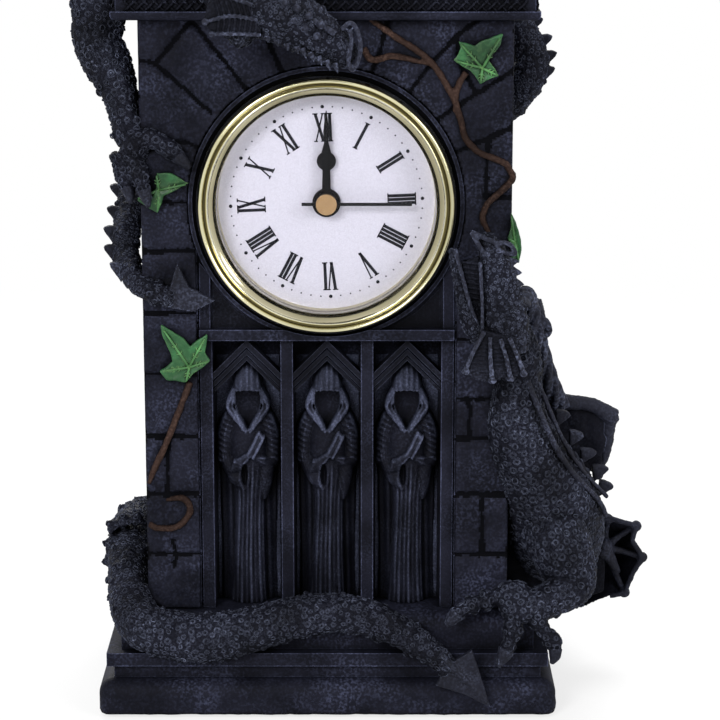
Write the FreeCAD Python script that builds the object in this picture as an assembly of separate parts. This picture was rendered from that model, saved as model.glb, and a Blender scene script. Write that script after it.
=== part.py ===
import FreeCAD, Part
import math
import os

# A gothic tower clock: a moulded plinth, a stone tower with three hooded monks in lancet windows, a round
# quartz insert in the front, a steep spire and two dragons. Millimetres. X runs to the right, Y to the back,
# Z up. The origin is the middle of the underside, and the clock faces -Y.

V = FreeCAD.Vector
TURN = 360
RIGHT, BACK, UP = V(1, 0, 0), V(0, 1, 0), V(0, 0, 1)

# Shared clearances
OVERRUN = 1.0          # how far a cutting tool runs past a face
SEAT_GAP = 0.1         # insert flange to its seat in the tower
RUNNING_GAP = 0.05     # radial, shafts in their holes
GLUE_GAP = 0.02        # between pieces pressed together
FREE_GAP = 0.3         # between pieces that pass one another

# Plinth, from the floor up
PAD_T = 0.8
PAD_IN = 4.0
PLINTH_W = 113.4
PLINTH_D = 79.0
BULLNOSE_H = 9.2
BULLNOSE_PROUD = 2.2
RECESS_H = 3.5
RECESS_IN = 1.8
SLAB_H = 3.5
OVOLO_H = 9.4
OVOLO_IN = 3.6

# Tower
TOWER_W = 93.0
TOWER_D = 62.0
TOWER_H = 152.0
TOWER_WALL = 5.0
FRONT_WALL = 14.0
CORNER_STONE = 14.0
STONE_PROUD = 1.2
STONE_ROUND = 2.5
COURSE_H = 15.2
JOINT_W = 0.8
JOINT_DEPTH = 0.7

# Window niche with its bars
BAY_PITCH = 20.4
MULLION_W = 3.1
NICHE_DEPTH = 9.0
WINDOW_H = 71.2
RAIL_H = 2.8
RAIL_PROUD = 1.4
HEAD_RISE = 8.0
HEAD_T = 5.0
BAR_IN = 0.6           # the bars stand this far behind the tower's face

# Monks
MONK_H = 63.0
MONK_SHOULDER = 15.0
MONK_DEPTH = 8.8
HOOD_VOID_W = 6.6
HOOD_VOID_H = 8.6
FOREARM_D = 4.2

# Eaves and spire
EAVE_OUT_X = 6.0
EAVE_OUT_Y = 6.0
EAVE_MOULD_H = 2.2
FRIEZE_H = 7.4
FRIEZE_IN = 1.2
CAP_H = 2.0
SPIRE_H = 60.0
FINIAL_H = 17.0
FINIAL_D = 9.0
LUCARNE_W = 17.0
LUCARNE_H = 27.0

# Dragons, vines and leaves
GIRTH = 10.0
WING_T = 1.6
VINE_D = 1.7
LEAF_T = 1.0
LEAF_SPAN = 12.5

# Clock insert, standard fit-up size: its axis is level and points at the viewer
HAND_AXIS_UP = 105.8   # above the tower's foot
BEZEL_D = 65.0
BEZEL_H = 7.0
BEZEL_MOUTH_D = 54.8
BEZEL_LIP_T = 1.8
SEAT_DEPTH = 2.0
SEAT_ROOM = 1.0        # radial, round the bezel in its seat
SURROUND_D = 69.0
SURROUND_PROUD = 0.6
BORE_D = 61.2
CUP_D = 60.4
CUP_WALL = 1.3
CUP_BACK = 15.6        # from the bezel's seat to the cup's open back
PARTITION_T = 1.2
LENS_T = 1.2
DIAL_T = 0.4
DIAL_DEPTH = 5.6       # lens back to dial front
DIAL_SHOW_D = 54.4
GASKET_T = 0.3
GASKET_W = 8.0

# Hands
HAND_T = 0.4
HAND_STEP = 1.0
BUSH_D = 6.0
NUT_D = 7.1
NUT_T = 0.6
HOUR_TUBE_D = 3.2
MINUTE_TUBE_D = 2.0
SECOND_ARBOR_D = 0.9
HOUR_HAND_L = 17.2
HOUR_HAND_W = 2.3
HOUR_BALL_D = 4.8
HOUR_BALL_AT = 10.6
MINUTE_HAND_L = 24.2
MINUTE_HAND_W = 1.8
MINUTE_SWELL_W = 2.9
SECOND_HAND_L = 21.4
SECOND_TAIL_L = 6.2
SECOND_HAND_W = 0.8
HUB_CAP_D = 5.2
HUB_CAP_T = 0.8

# Movement
CASE_W = 40.0
CASE_ROUND = 3.5
CASE_WALL = 1.5
FRONT_PLATE_T = 1.0
GEAR_ROOM = 8.0
BACK_PLATE_T = 1.0
MID_PLATE_T = 0.6
MID_PLATE_AT = 3.6     # behind the front plate
MID_PLATE_W = 34.0
ARBOR_D = 0.9
PIVOT_D = 0.6
WHEEL_T = 0.4
PINION_T = 0.6
CELL_D = 11.6
CELL_T = 5.4
CELL_AT_X = -10.5
CELL_AT_Z = -10.5
KNOB_D = 8.0
KNOB_T = 2.6
COVER_W = 15.0
COVER_T = 1.0
COIL_D = 4.8
COIL_L = 14.0
COIL_AT_Z = 13.6
BOARD_W = 11.0
BOARD_H = 11.0
BOARD_T = 0.8
BOARD_AT_X = 9.8
BOARD_AT_Z = -10.6
CRYSTAL_D = 2.0
CRYSTAL_L = 6.0
SCREW_D = 1.6
SCREW_HEAD_D = 2.8
SCREW_AT = 17.0
STATOR_T = 0.8
ROTOR_D = 4.0
ROTOR_L = 1.4

# Wheel train: teeth, centre distances and the directions from one arbor to the next, in degrees
MOTION_CENTRES = 7.6
MOTION_TOWARDS = 290.0
THIRD_CENTRES = 7.2
THIRD_TOWARDS = 150.0
MIDDLE_CENTRES = 5.76
MIDDLE_TOWARDS = 60.0
ROTOR_CENTRES = 5.6
ROTOR_TOWARDS = 20.0
CANNON_TEETH, MOTION_TEETH = 10, 30
MOTION_PINION_TEETH, HOUR_TEETH = 8, 32
CENTRE_TEETH, THIRD_PINION_TEETH = 64, 8
THIRD_TEETH, SECOND_PINION_TEETH = 60, 8
SECOND_TEETH, MIDDLE_PINION_TEETH = 40, 8
MIDDLE_TEETH, ROTOR_PINION_TEETH = 48, 8
ADDENDUM_SHARE, DEDENDUM_SHARE = 0.7, 0.95
ROOT_WIDTH_SHARE, TIP_WIDTH_SHARE = 0.21, 0.09

# Heights and depths that follow
HALF_W, HALF_D = TOWER_W / 2, TOWER_D / 2
PLINTH_HALF_W, PLINTH_HALF_D = PLINTH_W / 2, PLINTH_D / 2
BULLNOSE_TOP = PAD_T + BULLNOSE_H
RECESS_TOP = BULLNOSE_TOP + RECESS_H
SLAB_TOP = RECESS_TOP + SLAB_H
TOWER_FOOT = SLAB_TOP + OVOLO_H
EAVE = TOWER_FOOT + TOWER_H
EAVE_HALF_W, EAVE_HALF_D = HALF_W + EAVE_OUT_X, HALF_D + EAVE_OUT_Y
FRIEZE_FOOT = EAVE + EAVE_MOULD_H
CAP_FOOT = FRIEZE_FOOT + FRIEZE_H
SPIRE_FOOT = CAP_FOOT + CAP_H
SPIRE_TOP = SPIRE_FOOT + SPIRE_H
FRONT = -HALF_D
FIELD = FRONT + STONE_PROUD
NICHE_BACK = FRONT + NICHE_DEPTH
CAVITY_FRONT = FRONT + FRONT_WALL
WINDOW_TOP = TOWER_FOOT + WINDOW_H
WINDOW_HALF_W = (3 * BAY_PITCH + MULLION_W) / 2
BAY_HALF_W = (BAY_PITCH - MULLION_W) / 2
AXIS_Z = TOWER_FOOT + HAND_AXIS_UP

# Depths of the insert's pieces, from its seat in the tower forwards and backwards
SEAT = FRONT + SEAT_DEPTH
BEZEL_BACK = SEAT - SEAT_GAP
BEZEL_FRONT = BEZEL_BACK - BEZEL_H
LENS_FRONT = BEZEL_FRONT + BEZEL_LIP_T
LENS_BACK = LENS_FRONT + LENS_T
DIAL_FRONT = LENS_BACK + DIAL_DEPTH
DIAL_BACK = DIAL_FRONT + DIAL_T
PARTITION_BACK = DIAL_BACK + PARTITION_T
CUP_END = SEAT + CUP_BACK
POCKET_D = CUP_D + 2 * RUNNING_GAP
CUP_INNER_D = CUP_D - 2 * CUP_WALL
NUT_FRONT = DIAL_FRONT - NUT_T
HOUR_Y = NUT_FRONT - HAND_T - HAND_T
MINUTE_Y = HOUR_Y - HAND_STEP
SECOND_Y = MINUTE_Y - HAND_STEP
HUB_CAP_Y = SECOND_Y - HUB_CAP_T
CASE_FRONT = PARTITION_BACK + 2 * RUNNING_GAP
GEARS_FRONT = CASE_FRONT + FRONT_PLATE_T
GEARS_BACK = GEARS_FRONT + GEAR_ROOM
CASE_BACK = GEARS_BACK + BACK_PLATE_T
MID_PLATE = GEARS_FRONT + MID_PLATE_AT
CASE_HALF = CASE_W / 2

# The layers of the wheels behind the front plate, as shares of the room for them
HOUR_LAYER_SHARE = 0.05
MOTION_LAYER_SHARE = 0.15
CENTRE_LAYER_SHARE = 0.265
THIRD_LAYER_SHARE = 0.355
SECOND_LAYER_SHARE = 0.575
MIDDLE_LAYER_SHARE = 0.69
MAGNET_LAYER_SHARE = 0.785


def box(x0, x1, y0, y1, z0, z1):
    return Part.makeBox(x1 - x0, y1 - y0, z1 - z0, V(x0, y0, z0))


def block(half_x, half_y, z0, z1):
    """A box centred on the tower's upright axis."""
    return box(-half_x, half_x, -half_y, half_y, z0, z1)


def rod(diameter, y0, y1, x=0, z=0):
    """A round bar along Y, placed from the hand axis."""
    return Part.makeCylinder(diameter / 2, y1 - y0, V(x, y0, AXIS_Z + z), BACK)


def tube(outer, inner, y0, y1, x=0, z=0):
    hole = rod(inner, y0 - OVERRUN, y1 + OVERRUN, x, z)
    return rod(outer, y0, y1, x, z).cut(hole)


def plate(points, y0, y1):
    """A flat plate facing the front, from (x, z) points."""
    corners = [V(x, y0, z) for x, z in points]
    wire = Part.makePolygon(corners + corners[:1])
    return Part.Face(wire).extrude(V(0, y1 - y0, 0))


def turned(profile, centre=V(0, 0, 0), axis=UP):
    """A turned solid from (radius, height) points about an upright axis through the centre."""
    points = [V(radius, 0, height).add(centre) for radius, height in profile]
    wire = Part.makePolygon(points + points[:1])
    return Part.Face(wire).revolve(centre, axis, TURN)


def joined(shapes):
    first, *rest = shapes
    return first.fuse(rest).removeSplitter() if rest else first


def at(shares, sizes):
    return V(*(share * size for share, size in zip(shares, sizes)))


def route(rows, sizes):
    """Middle points and radii from rows of x, y, z and radius, as shares of the sizes and the girth."""
    return [(at(row, sizes), row[3] * GIRTH) for row in rows]


def limb(stations):
    """A round limb through middle points with a radius at each."""
    points = [point for point, radius in stations]
    last = len(points) - 1
    rings = []
    for index, (point, radius) in enumerate(stations):
        along = points[min(index + 1, last)].sub(points[max(index - 1, 0)])
        rings.append(Part.Wire(Part.Circle(point, along, radius).toShape()))
    return Part.makeLoft(rings, True, False)


def spike(base, tip, base_d):
    """A spike with a blunt point."""
    way = tip.sub(base)
    return Part.makeCone(base_d / 2, base_d * BLUNT_SHARE, way.Length, base, way)


BLUNT_SHARE = 0.08


def ball(centre, diameter):
    return Part.makeSphere(diameter / 2, centre)


def seated(shape, *carriers):
    """Cuts a piece by what carries it, so that the two meet face to face, and keeps its largest solid."""
    for carrier in carriers:
        shape = shape.cut(carrier)
    return max(shape.Solids, key=lambda solid: solid.Volume)


def half_round(x, back, z, half_width, depth):
    """A level wire: a bow standing out to the front from a straight back."""
    left, right, front = V(x - half_width, back, z), V(x + half_width, back, z), V(x, back - depth, z)
    return Part.Wire([Part.Arc(left, front, right).toShape(), Part.makeLine(right, left)])


def save(name, shape):
    shape.exportStep("parts/" + name + ".step")


# The plinth and its pad

def base_pad():
    return block(PLINTH_HALF_W - PAD_IN, PLINTH_HALF_D - PAD_IN, 0, PAD_T)


def plinth():
    proud_x, proud_y = PLINTH_HALF_W + BULLNOSE_PROUD, PLINTH_HALF_D + BULLNOSE_PROUD
    bullnose = block(proud_x, proud_y, PAD_T, BULLNOSE_TOP)
    bullnose = bullnose.makeFillet(BULLNOSE_H * BULLNOSE_ROUND_SHARE, bullnose.Edges)
    recess = block(PLINTH_HALF_W - RECESS_IN, PLINTH_HALF_D - RECESS_IN, BULLNOSE_TOP, RECESS_TOP)
    slab = block(PLINTH_HALF_W, PLINTH_HALF_D, RECESS_TOP, SLAB_TOP)
    ovolo_x, ovolo_y = PLINTH_HALF_W - OVOLO_IN, PLINTH_HALF_D - OVOLO_IN
    ovolo = block(ovolo_x, ovolo_y, SLAB_TOP, TOWER_FOOT)
    top_edges = [e for e in ovolo.Edges if e.BoundBox.ZMin > SLAB_TOP + OVOLO_H / 2]
    room = min(ovolo_x - HALF_W, ovolo_y - HALF_D, OVOLO_H)
    ovolo = ovolo.makeFillet(room * OVOLO_ROUND_SHARE, top_edges)
    return joined([bullnose, recess, slab, ovolo])


BULLNOSE_ROUND_SHARE = 0.45
OVOLO_ROUND_SHARE = 0.92


# The tower

def corner_stones():
    """The four corner pillars, with rounded outer edges and a groove at each course."""
    inner_x, inner_y = HALF_W - CORNER_STONE, HALF_D - CORNER_STONE
    rounded = block(HALF_W, HALF_D, TOWER_FOOT, EAVE)
    upright = [e for e in rounded.Edges if e.BoundBox.ZLength > TOWER_H / 2]
    rounded = rounded.makeFillet(STONE_ROUND, upright)
    cross_x = block(inner_x, HALF_D + OVERRUN, TOWER_FOOT - OVERRUN, EAVE + OVERRUN)
    cross_y = block(HALF_W + OVERRUN, inner_y, TOWER_FOOT - OVERRUN, EAVE + OVERRUN)
    pillars = rounded.cut([cross_x, cross_y])
    grooves = []
    for course in range(1, int(TOWER_H / COURSE_H) + 1):
        z = TOWER_FOOT + course * COURSE_H
        band = block(HALF_W + OVERRUN, HALF_D + OVERRUN, z - JOINT_W, z)
        core = block(HALF_W - JOINT_DEPTH, HALF_D - JOINT_DEPTH, z - JOINT_W, z)
        if z < EAVE - JOINT_W:
            grooves.append(band.cut(core))
    return pillars.cut(grooves)


def tower_envelope():
    """The tower's full outside, for cutting what leans on it."""
    return block(HALF_W, HALF_D, TOWER_FOOT, EAVE)


def tower_shell():
    field = block(HALF_W - STONE_PROUD, HALF_D - STONE_PROUD, TOWER_FOOT, EAVE)
    surround = rod(SURROUND_D, FRONT - SURROUND_PROUD, FIELD)
    rail = box(-WINDOW_HALF_W, WINDOW_HALF_W, FRONT - RAIL_PROUD, FIELD, WINDOW_TOP, WINDOW_TOP + RAIL_H)
    shell = joined([field, corner_stones(), rail, surround])
    inside_x = HALF_W - STONE_PROUD - TOWER_WALL
    inside_y = HALF_D - STONE_PROUD - TOWER_WALL
    cavity = box(-inside_x, inside_x, CAVITY_FRONT, inside_y, TOWER_FOOT - OVERRUN, EAVE - TOWER_WALL)
    niche = box(-WINDOW_HALF_W, WINDOW_HALF_W, FRONT - OVERRUN, NICHE_BACK, TOWER_FOOT - OVERRUN, WINDOW_TOP)
    bore = rod(BORE_D, FRONT - OVERRUN, CAVITY_FRONT + OVERRUN)
    seat = rod(BEZEL_D + 2 * SEAT_ROOM, FRONT - RAIL_PROUD - OVERRUN, SEAT)
    return shell.cut([cavity, niche, bore, seat])


# Windows and monks

def window_bars():
    """The two stiles and two mullions, each its own solid."""
    bars = []
    for step_share in (-1.5, -0.5, 0.5, 1.5):
        x = step_share * BAY_PITCH
        bars.append(box(x - MULLION_W / 2, x + MULLION_W / 2, FRONT + BAR_IN, NICHE_BACK, TOWER_FOOT, WINDOW_TOP))
    return bars


def window_head(centre_x):
    """A pointed chevron arch between two bars, under the rail, in two steps."""
    low, high = WINDOW_TOP - HEAD_RISE, WINDOW_TOP
    steps = []
    for drop_share, front in ((1, FRONT + BAR_IN), (1 + HEAD_STEP_SHARE, FRONT + BAR_IN + HEAD_T / 2)):
        drop = HEAD_T * drop_share
        points = [(-BAY_HALF_W, low), (0, high), (BAY_HALF_W, low),
                  (BAY_HALF_W, low - drop), (0, high - drop), (-BAY_HALF_W, low - drop)]
        steps.append(plate([(centre_x + x, z) for x, z in points], front, NICHE_BACK))
    return joined(steps)


HEAD_STEP_SHARE = 0.3

# A monk's robe from the hem to the top of the hood: height, half width and depth
ROBE_SHARES = (
    (0.00, 0.34, 0.66),
    (0.08, 0.31, 0.62),
    (0.34, 0.31, 0.62),
    (0.50, 0.43, 0.80),
    (0.62, 0.50, 0.92),
    (0.70, 0.48, 0.88),
    (0.76, 0.37, 0.78),
    (0.85, 0.35, 0.80),
    (0.93, 0.24, 0.62),
    (0.98, 0.11, 0.36),
    (1.00, 0.03, 0.10),
)


def monk(centre_x):
    """A hooded figure in relief, its hood empty and its forearms crossed, with a flat back."""
    rings = []
    for up_share, wide_share, deep_share in ROBE_SHARES:
        z = TOWER_FOOT + up_share * MONK_H
        rings.append(half_round(centre_x, NICHE_BACK, z, wide_share * MONK_SHOULDER, deep_share * MONK_DEPTH))
    robe = Part.makeLoft(rings, True, True)
    hood_y = NICHE_BACK - HOOD_OUT_SHARE * MONK_DEPTH
    hood_z = TOWER_FOOT + MONK_H * HOOD_UP_SHARE
    rise = (HOOD_VOID_H - HOOD_VOID_W) / 2
    voids = [ball(V(centre_x, hood_y, hood_z + lift), HOOD_VOID_W) for lift in (-rise, rise)]
    sleeves = []
    for side in (-1, 1):
        elbow_y = NICHE_BACK - MONK_DEPTH * ELBOW_OUT_SHARE
        elbow = V(centre_x + side * MONK_SHOULDER * ELBOW_SHARE, elbow_y, TOWER_FOOT + MONK_H * ELBOW_UP_SHARE)
        hand = V(centre_x, NICHE_BACK - MONK_DEPTH * HAND_OUT_SHARE, TOWER_FOOT + MONK_H * HAND_UP_SHARE)
        way = hand.sub(elbow)
        sleeves.append(Part.makeCone(FOREARM_D / 2, FOREARM_D * CUFF_SHARE, way.Length, elbow, way))
    return seated(robe.fuse(sleeves), *voids)


HOOD_OUT_SHARE = 0.80
HOOD_UP_SHARE = 0.83
ELBOW_SHARE = 0.30
ELBOW_UP_SHARE = 0.545
ELBOW_OUT_SHARE = 0.55
HAND_UP_SHARE = 0.60
HAND_OUT_SHARE = 0.92
CUFF_SHARE = 0.62


# Eaves, spire and finial

def eave_moulding():
    slab = block(EAVE_HALF_W, EAVE_HALF_D, EAVE, FRIEZE_FOOT)
    low = [e for e in slab.Edges if e.BoundBox.ZMax < EAVE + EAVE_MOULD_H / 2]
    return slab.makeFillet(EAVE_MOULD_H * EAVE_ROUND_SHARE, low)


EAVE_ROUND_SHARE = 0.6


def eave_frieze():
    band = block(EAVE_HALF_W - FRIEZE_IN, EAVE_HALF_D - FRIEZE_IN, FRIEZE_FOOT, CAP_FOOT)
    cap = block(EAVE_HALF_W, EAVE_HALF_D, CAP_FOOT, SPIRE_FOOT)
    return joined([band, cap])


# The spire's outline: height, half width and half depth, flared at the eaves
SPIRE_SHARES = (
    (0.00, 0.96, 0.96),
    (0.14, 0.72, 0.70),
    (0.45, 0.42, 0.42),
    (1.00, 0.05, 0.06),
)


def spire():
    rings = []
    for up_share, wide_share, deep_share in SPIRE_SHARES:
        x, y = wide_share * EAVE_HALF_W, deep_share * EAVE_HALF_D
        z = SPIRE_FOOT + up_share * SPIRE_H
        corners = [V(-x, -y, z), V(x, -y, z), V(x, y, z), V(-x, y, z)]
        rings.append(Part.makePolygon(corners + corners[:1]))
    return Part.makeLoft(rings, True, True)


# The finial's turned outline: radius and height
FINIAL_SHARES = (
    (0.0, 0.0), (1.0, 0.0), (1.0, 0.12), (0.5, 0.18), (0.42, 0.28), (0.86, 0.36), (0.94, 0.46),
    (0.80, 0.56), (0.38, 0.62), (0.30, 0.70), (0.05, 1.0), (0.0, 1.0),
)


def finial():
    profile = [(radius * FINIAL_D / 2, up * FINIAL_H) for radius, up in FINIAL_SHARES]
    return turned(profile, V(0, 0, SPIRE_TOP))


def lucarne():
    """The small gabled window on the spire's front slope."""
    half, top = LUCARNE_W / 2, SPIRE_FOOT + LUCARNE_H
    wall = SPIRE_FOOT + LUCARNE_H * LUCARNE_WALL_SHARE
    front = -EAVE_HALF_D * LUCARNE_FRONT_SHARE
    house = plate([(-half, SPIRE_FOOT), (half, SPIRE_FOOT), (half, wall), (0, top), (-half, wall)], front, 0)
    inner = half * LUCARNE_LIGHT_SHARE
    sill = SPIRE_FOOT + LUCARNE_H * LUCARNE_SILL_SHARE
    peak = top - LUCARNE_H * LUCARNE_SILL_SHARE
    light = plate([(-inner, sill), (inner, sill), (inner, wall), (0, peak), (-inner, wall)],
                  front - OVERRUN, front + LUCARNE_W * LUCARNE_SILL_SHARE)
    return seated(house.cut(light), spire())


LUCARNE_WALL_SHARE = 0.5
LUCARNE_FRONT_SHARE = 0.86
LUCARNE_LIGHT_SHARE = 0.55
LUCARNE_SILL_SHARE = 0.16

# Dragon limbs. Rows hold x, y, z and radius: x and y as shares of the tower's half width and half depth, z of
# the height of the eaves, and the radius of the dragons' girth. Plinth rows follow the plinth's sizes.
TOWER_SIZES = (HALF_W, HALF_D, EAVE)
PLINTH_SIZES = (PLINTH_HALF_W, PLINTH_HALF_D, SLAB_TOP)

LOWER_BODY_SHARES = (
    (0.96, -1.18, 0.585, 0.40), (1.04, -1.12, 0.535, 0.52), (1.04, -1.06, 0.475, 0.62), (1.05, -0.95, 0.415, 0.82),
    (1.14, -0.80, 0.350, 1.12), (1.24, -0.64, 0.285, 1.34), (1.30, -0.40, 0.225, 1.22),
    (1.30, 0.05, 0.190, 0.94), (1.22, 0.60, 0.180, 0.74),
)
LOWER_JAW_SHARES = (
    (0.94, -1.24, 0.545, 0.38), (0.80, -1.32, 0.590, 0.30), (0.73, -1.34, 0.640, 0.22), (0.715, -1.32, 0.683, 0.16),
)
UPPER_JAW_SHARES = (
    (1.00, -1.20, 0.570, 0.48), (0.97, -1.28, 0.625, 0.43), (0.94, -1.32, 0.675, 0.36), (0.88, -1.32, 0.705, 0.26),
)
LOWER_TAIL_BACK_SHARES = (
    (1.20, 0.70, 0.178, 0.66), (1.06, 1.10, 0.176, 0.62), (0.50, 1.17, 0.174, 0.58), (-0.30, 1.16, 0.176, 0.56),
    (-0.90, 1.14, 0.182, 0.54), (-1.13, 0.75, 0.195, 0.54), (-1.15, 0.15, 0.203, 0.56), (-1.13, -0.45, 0.190, 0.58),
)
LOWER_TAIL_FRONT_SHARES = (
    (-0.86, -0.90, 1.46, 0.60), (-0.66, -1.00, 1.28, 0.62), (-0.46, -1.02, 1.30, 0.60), (-0.28, -1.00, 1.44, 0.55),
    (-0.08, -0.98, 1.60, 0.52), (0.14, -0.98, 1.60, 0.46), (0.32, -1.02, 1.38, 0.40), (0.46, -1.07, 1.10, 0.32),
    (0.56, -1.11, 0.84, 0.22),
)
UPPER_TAIL_SHARES = (
    (0.30, 1.20, 1.090, 0.66), (0.80, 1.34, 1.020, 0.58), (1.12, 1.10, 0.940, 0.52), (1.14, 0.96, 0.870, 0.48),
    (0.80, 1.20, 0.800, 0.46), (0.00, 1.13, 0.770, 0.44), (-0.80, 1.13, 0.755, 0.42), (-1.09, 0.80, 0.735, 0.40),
    (-1.12, 0.00, 0.695, 0.36), (-1.11, -0.55, 0.655, 0.33), (-1.00, -1.00, 0.625, 0.29), (-0.82, -1.12, 0.612, 0.22),
)
UPPER_BODY_SHARES = (
    (0.30, 1.20, 1.090, 0.68), (-0.10, 1.10, 1.145, 0.95), (-0.48, 0.72, 1.170, 1.15), (-0.70, 0.20, 1.185, 1.20),
    (-0.74, -0.35, 1.175, 1.05), (-0.66, -0.85, 1.130, 0.80), (-0.58, -1.20, 1.080, 0.62), (-0.48, -1.42, 1.025, 0.56),
    (-0.36, -1.50, 0.988, 0.58),
)
UPPER_HEAD_SHARES = (
    (-0.36, -1.50, 0.988, 0.62), (-0.18, -1.54, 0.976, 0.74), (0.02, -1.54, 0.968, 0.54), (0.18, -1.50, 0.960, 0.38),
    (0.225, -1.48, 0.956, 0.24),
)
HIND_LEG_SHARES = (
    (1.18, -0.70, 0.300, 0.90), (1.30, -1.00, 0.235, 0.80), (1.36, -1.10, 0.192, 0.56), (1.20, -1.24, 0.172, 0.44),
    (1.02, -1.28, 0.164, 0.44),
)
GRIP_LEG_SHARES = (
    (-0.90, -0.30, 1.180, 0.90), (-1.16, -0.55, 1.060, 0.76), (-1.23, -0.66, 0.965, 0.62), (-1.11, -0.80, 0.895, 0.46),
    (-1.045, -0.98, 0.835, 0.36), (-0.96, -1.08, 0.822, 0.36),
)

# Claws and other spikes: foot and point, in the same shares, then the foot's share of the girth
HIND_CLAWS_SHARES = (
    ((1.00, -1.28, 0.166), (0.67, -1.36, 0.160), 0.50),
    ((1.02, -1.34, 0.150), (0.98, -1.46, 0.092), 0.50),
    ((1.10, -1.30, 0.156), (1.20, -1.42, 0.102), 0.46),
)
GRIP_CLAWS_SHARES = (
    ((-0.97, -1.08, 0.820), (-0.78, -1.12, 0.800), 0.46),
    ((-0.99, -1.06, 0.812), (-0.88, -1.12, 0.755), 0.46),
    ((-1.03, -1.00, 0.815), (-0.99, -1.08, 0.745), 0.46),
)
UPPER_HORN_SHARES = (
    ((-0.30, -1.48, 1.012), (-0.50, -1.36, 1.090), 0.40),
    ((-0.20, -1.58, 1.010), (-0.38, -1.60, 1.075), 0.36),
)
LOWER_HORN_SHARES = (
    ((1.02, -1.16, 0.550), (1.14, -1.02, 0.500), 0.36),
    ((0.98, -1.26, 0.540), (0.94, -1.36, 0.470), 0.34),
    ((0.92, -1.26, 0.540), (0.78, -1.32, 0.485), 0.34),
)
LEFT_TAIL_SPIKES_SHARES = (
    ((-1.17, 0.00, 0.712), (-1.26, 0.00, 0.742), 0.34), ((-1.18, -0.20, 0.690), (-1.28, -0.20, 0.708), 0.34),
    ((-1.18, -0.40, 0.672), (-1.28, -0.42, 0.674), 0.32), ((-1.16, -0.60, 0.655), (-1.26, -0.62, 0.640), 0.32),
)
BACK_FINS_SHARES = (
    ((1.18, -0.70, 0.420), (1.32, -0.62, 0.440), 0.50), ((1.30, -0.60, 0.375), (1.44, -0.52, 0.395), 0.50),
    ((1.42, -0.50, 0.325), (1.56, -0.42, 0.342), 0.50), ((1.48, -0.42, 0.280), (1.63, -0.34, 0.292), 0.46),
)
BASE_TAIL_SPIKES_SHARES = (
    ((-1.22, 0.05, 0.225), (-1.32, 0.05, 0.245), 0.34), ((-1.22, -0.25, 0.212), (-1.33, -0.25, 0.222), 0.34),
    ((-1.20, -0.45, 0.195), (-1.31, -0.45, 0.196), 0.32),
)

# Wings: bones as limbs, and webs as flat plates between (x, z) corners, all in the same shares
LOWER_WING_BONES_SHARES = (
    ((1.06, -0.60, 0.460, 0.40), (1.14, -0.50, 0.530, 0.40), (1.12, -0.46, 0.585, 0.34)),
    ((1.11, -0.46, 0.590, 0.40), (1.20, -0.44, 0.510, 0.42), (1.33, -0.38, 0.408, 0.36)),
    ((1.30, -0.38, 0.430, 0.30), (1.48, -0.34, 0.424, 0.26), (1.62, -0.30, 0.402, 0.34)),
    ((1.60, -0.30, 0.405, 0.26), (1.58, -0.26, 0.350, 0.20), (1.54, -0.24, 0.312, 0.12)),
)
LOWER_WING_WEB_SHARES = ((1.06, 0.46), (1.33, 0.43), (1.60, 0.405), (1.54, 0.315), (1.40, 0.33), (1.22, 0.30))
LOWER_WING_WEB_AT_SHARE = -0.30
SECOND_WING_BONES_SHARES = (
    ((1.30, 0.10, 0.190, 0.42), (1.48, 0.06, 0.180, 0.40), (1.64, 0.02, 0.170, 0.36)),
    ((1.62, 0.02, 0.170, 0.30), (1.72, 0.00, 0.192, 0.22), (1.80, 0.00, 0.216, 0.10)),
    ((1.64, 0.02, 0.170, 0.30), (1.76, 0.00, 0.169, 0.20), (1.85, 0.00, 0.167, 0.10)),
    ((1.63, 0.02, 0.168, 0.30), (1.69, 0.00, 0.140, 0.20), (1.74, 0.00, 0.110, 0.10)),
)
SECOND_WING_WEB_SHARES = ((1.28, 0.20), (1.60, 0.225), (1.79, 0.212), (1.76, 0.17), (1.72, 0.115), (1.36, 0.110))
SECOND_WING_WEB_AT_SHARE = 0.02
RAISED_WING_BONES_SHARES = (
    ((-0.80, 0.30, 1.200, 0.44), (-0.96, 0.44, 1.290, 0.38), (-1.06, 0.50, 1.370, 0.32)),
    ((-1.05, 0.50, 1.365, 0.28), (-1.30, 0.50, 1.320, 0.22), (-1.52, 0.50, 1.250, 0.12)),
    ((-1.04, 0.50, 1.360, 0.28), (-1.24, 0.50, 1.250, 0.20), (-1.42, 0.50, 1.130, 0.12)),
    ((-1.03, 0.50, 1.360, 0.28), (-1.10, 0.50, 1.230, 0.20), (-1.20, 0.50, 1.090, 0.12)),
)
RAISED_WING_WEB_SHARES = (
    (-0.80, 1.20), (-1.05, 1.36), (-1.50, 1.252), (-1.40, 1.20), (-1.41, 1.136), (-1.27, 1.13), (-1.20, 1.096),
    (-1.00, 1.12), (-0.80, 1.14),
)
RAISED_WING_WEB_AT_SHARE = 0.50
FAR_WING_BONES_SHARES = (
    ((-0.34, 0.98, 1.180, 0.44), (-0.10, 1.04, 1.280, 0.38), (0.12, 1.06, 1.370, 0.32)),
    ((0.10, 1.06, 1.366, 0.28), (0.42, 1.06, 1.330, 0.22), (0.74, 1.06, 1.270, 0.12)),
    ((0.10, 1.06, 1.362, 0.28), (0.40, 1.06, 1.270, 0.20), (0.68, 1.06, 1.170, 0.12)),
    ((0.09, 1.06, 1.360, 0.28), (0.24, 1.06, 1.240, 0.20), (0.40, 1.06, 1.150, 0.12)),
)
FAR_WING_WEB_SHARES = (
    (-0.30, 1.18), (0.10, 1.362), (0.73, 1.27), (0.62, 1.225), (0.67, 1.173), (0.50, 1.18), (0.40, 1.153),
    (0.20, 1.16), (0.00, 1.16),
)
FAR_WING_WEB_AT_SHARE = 1.06

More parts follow.
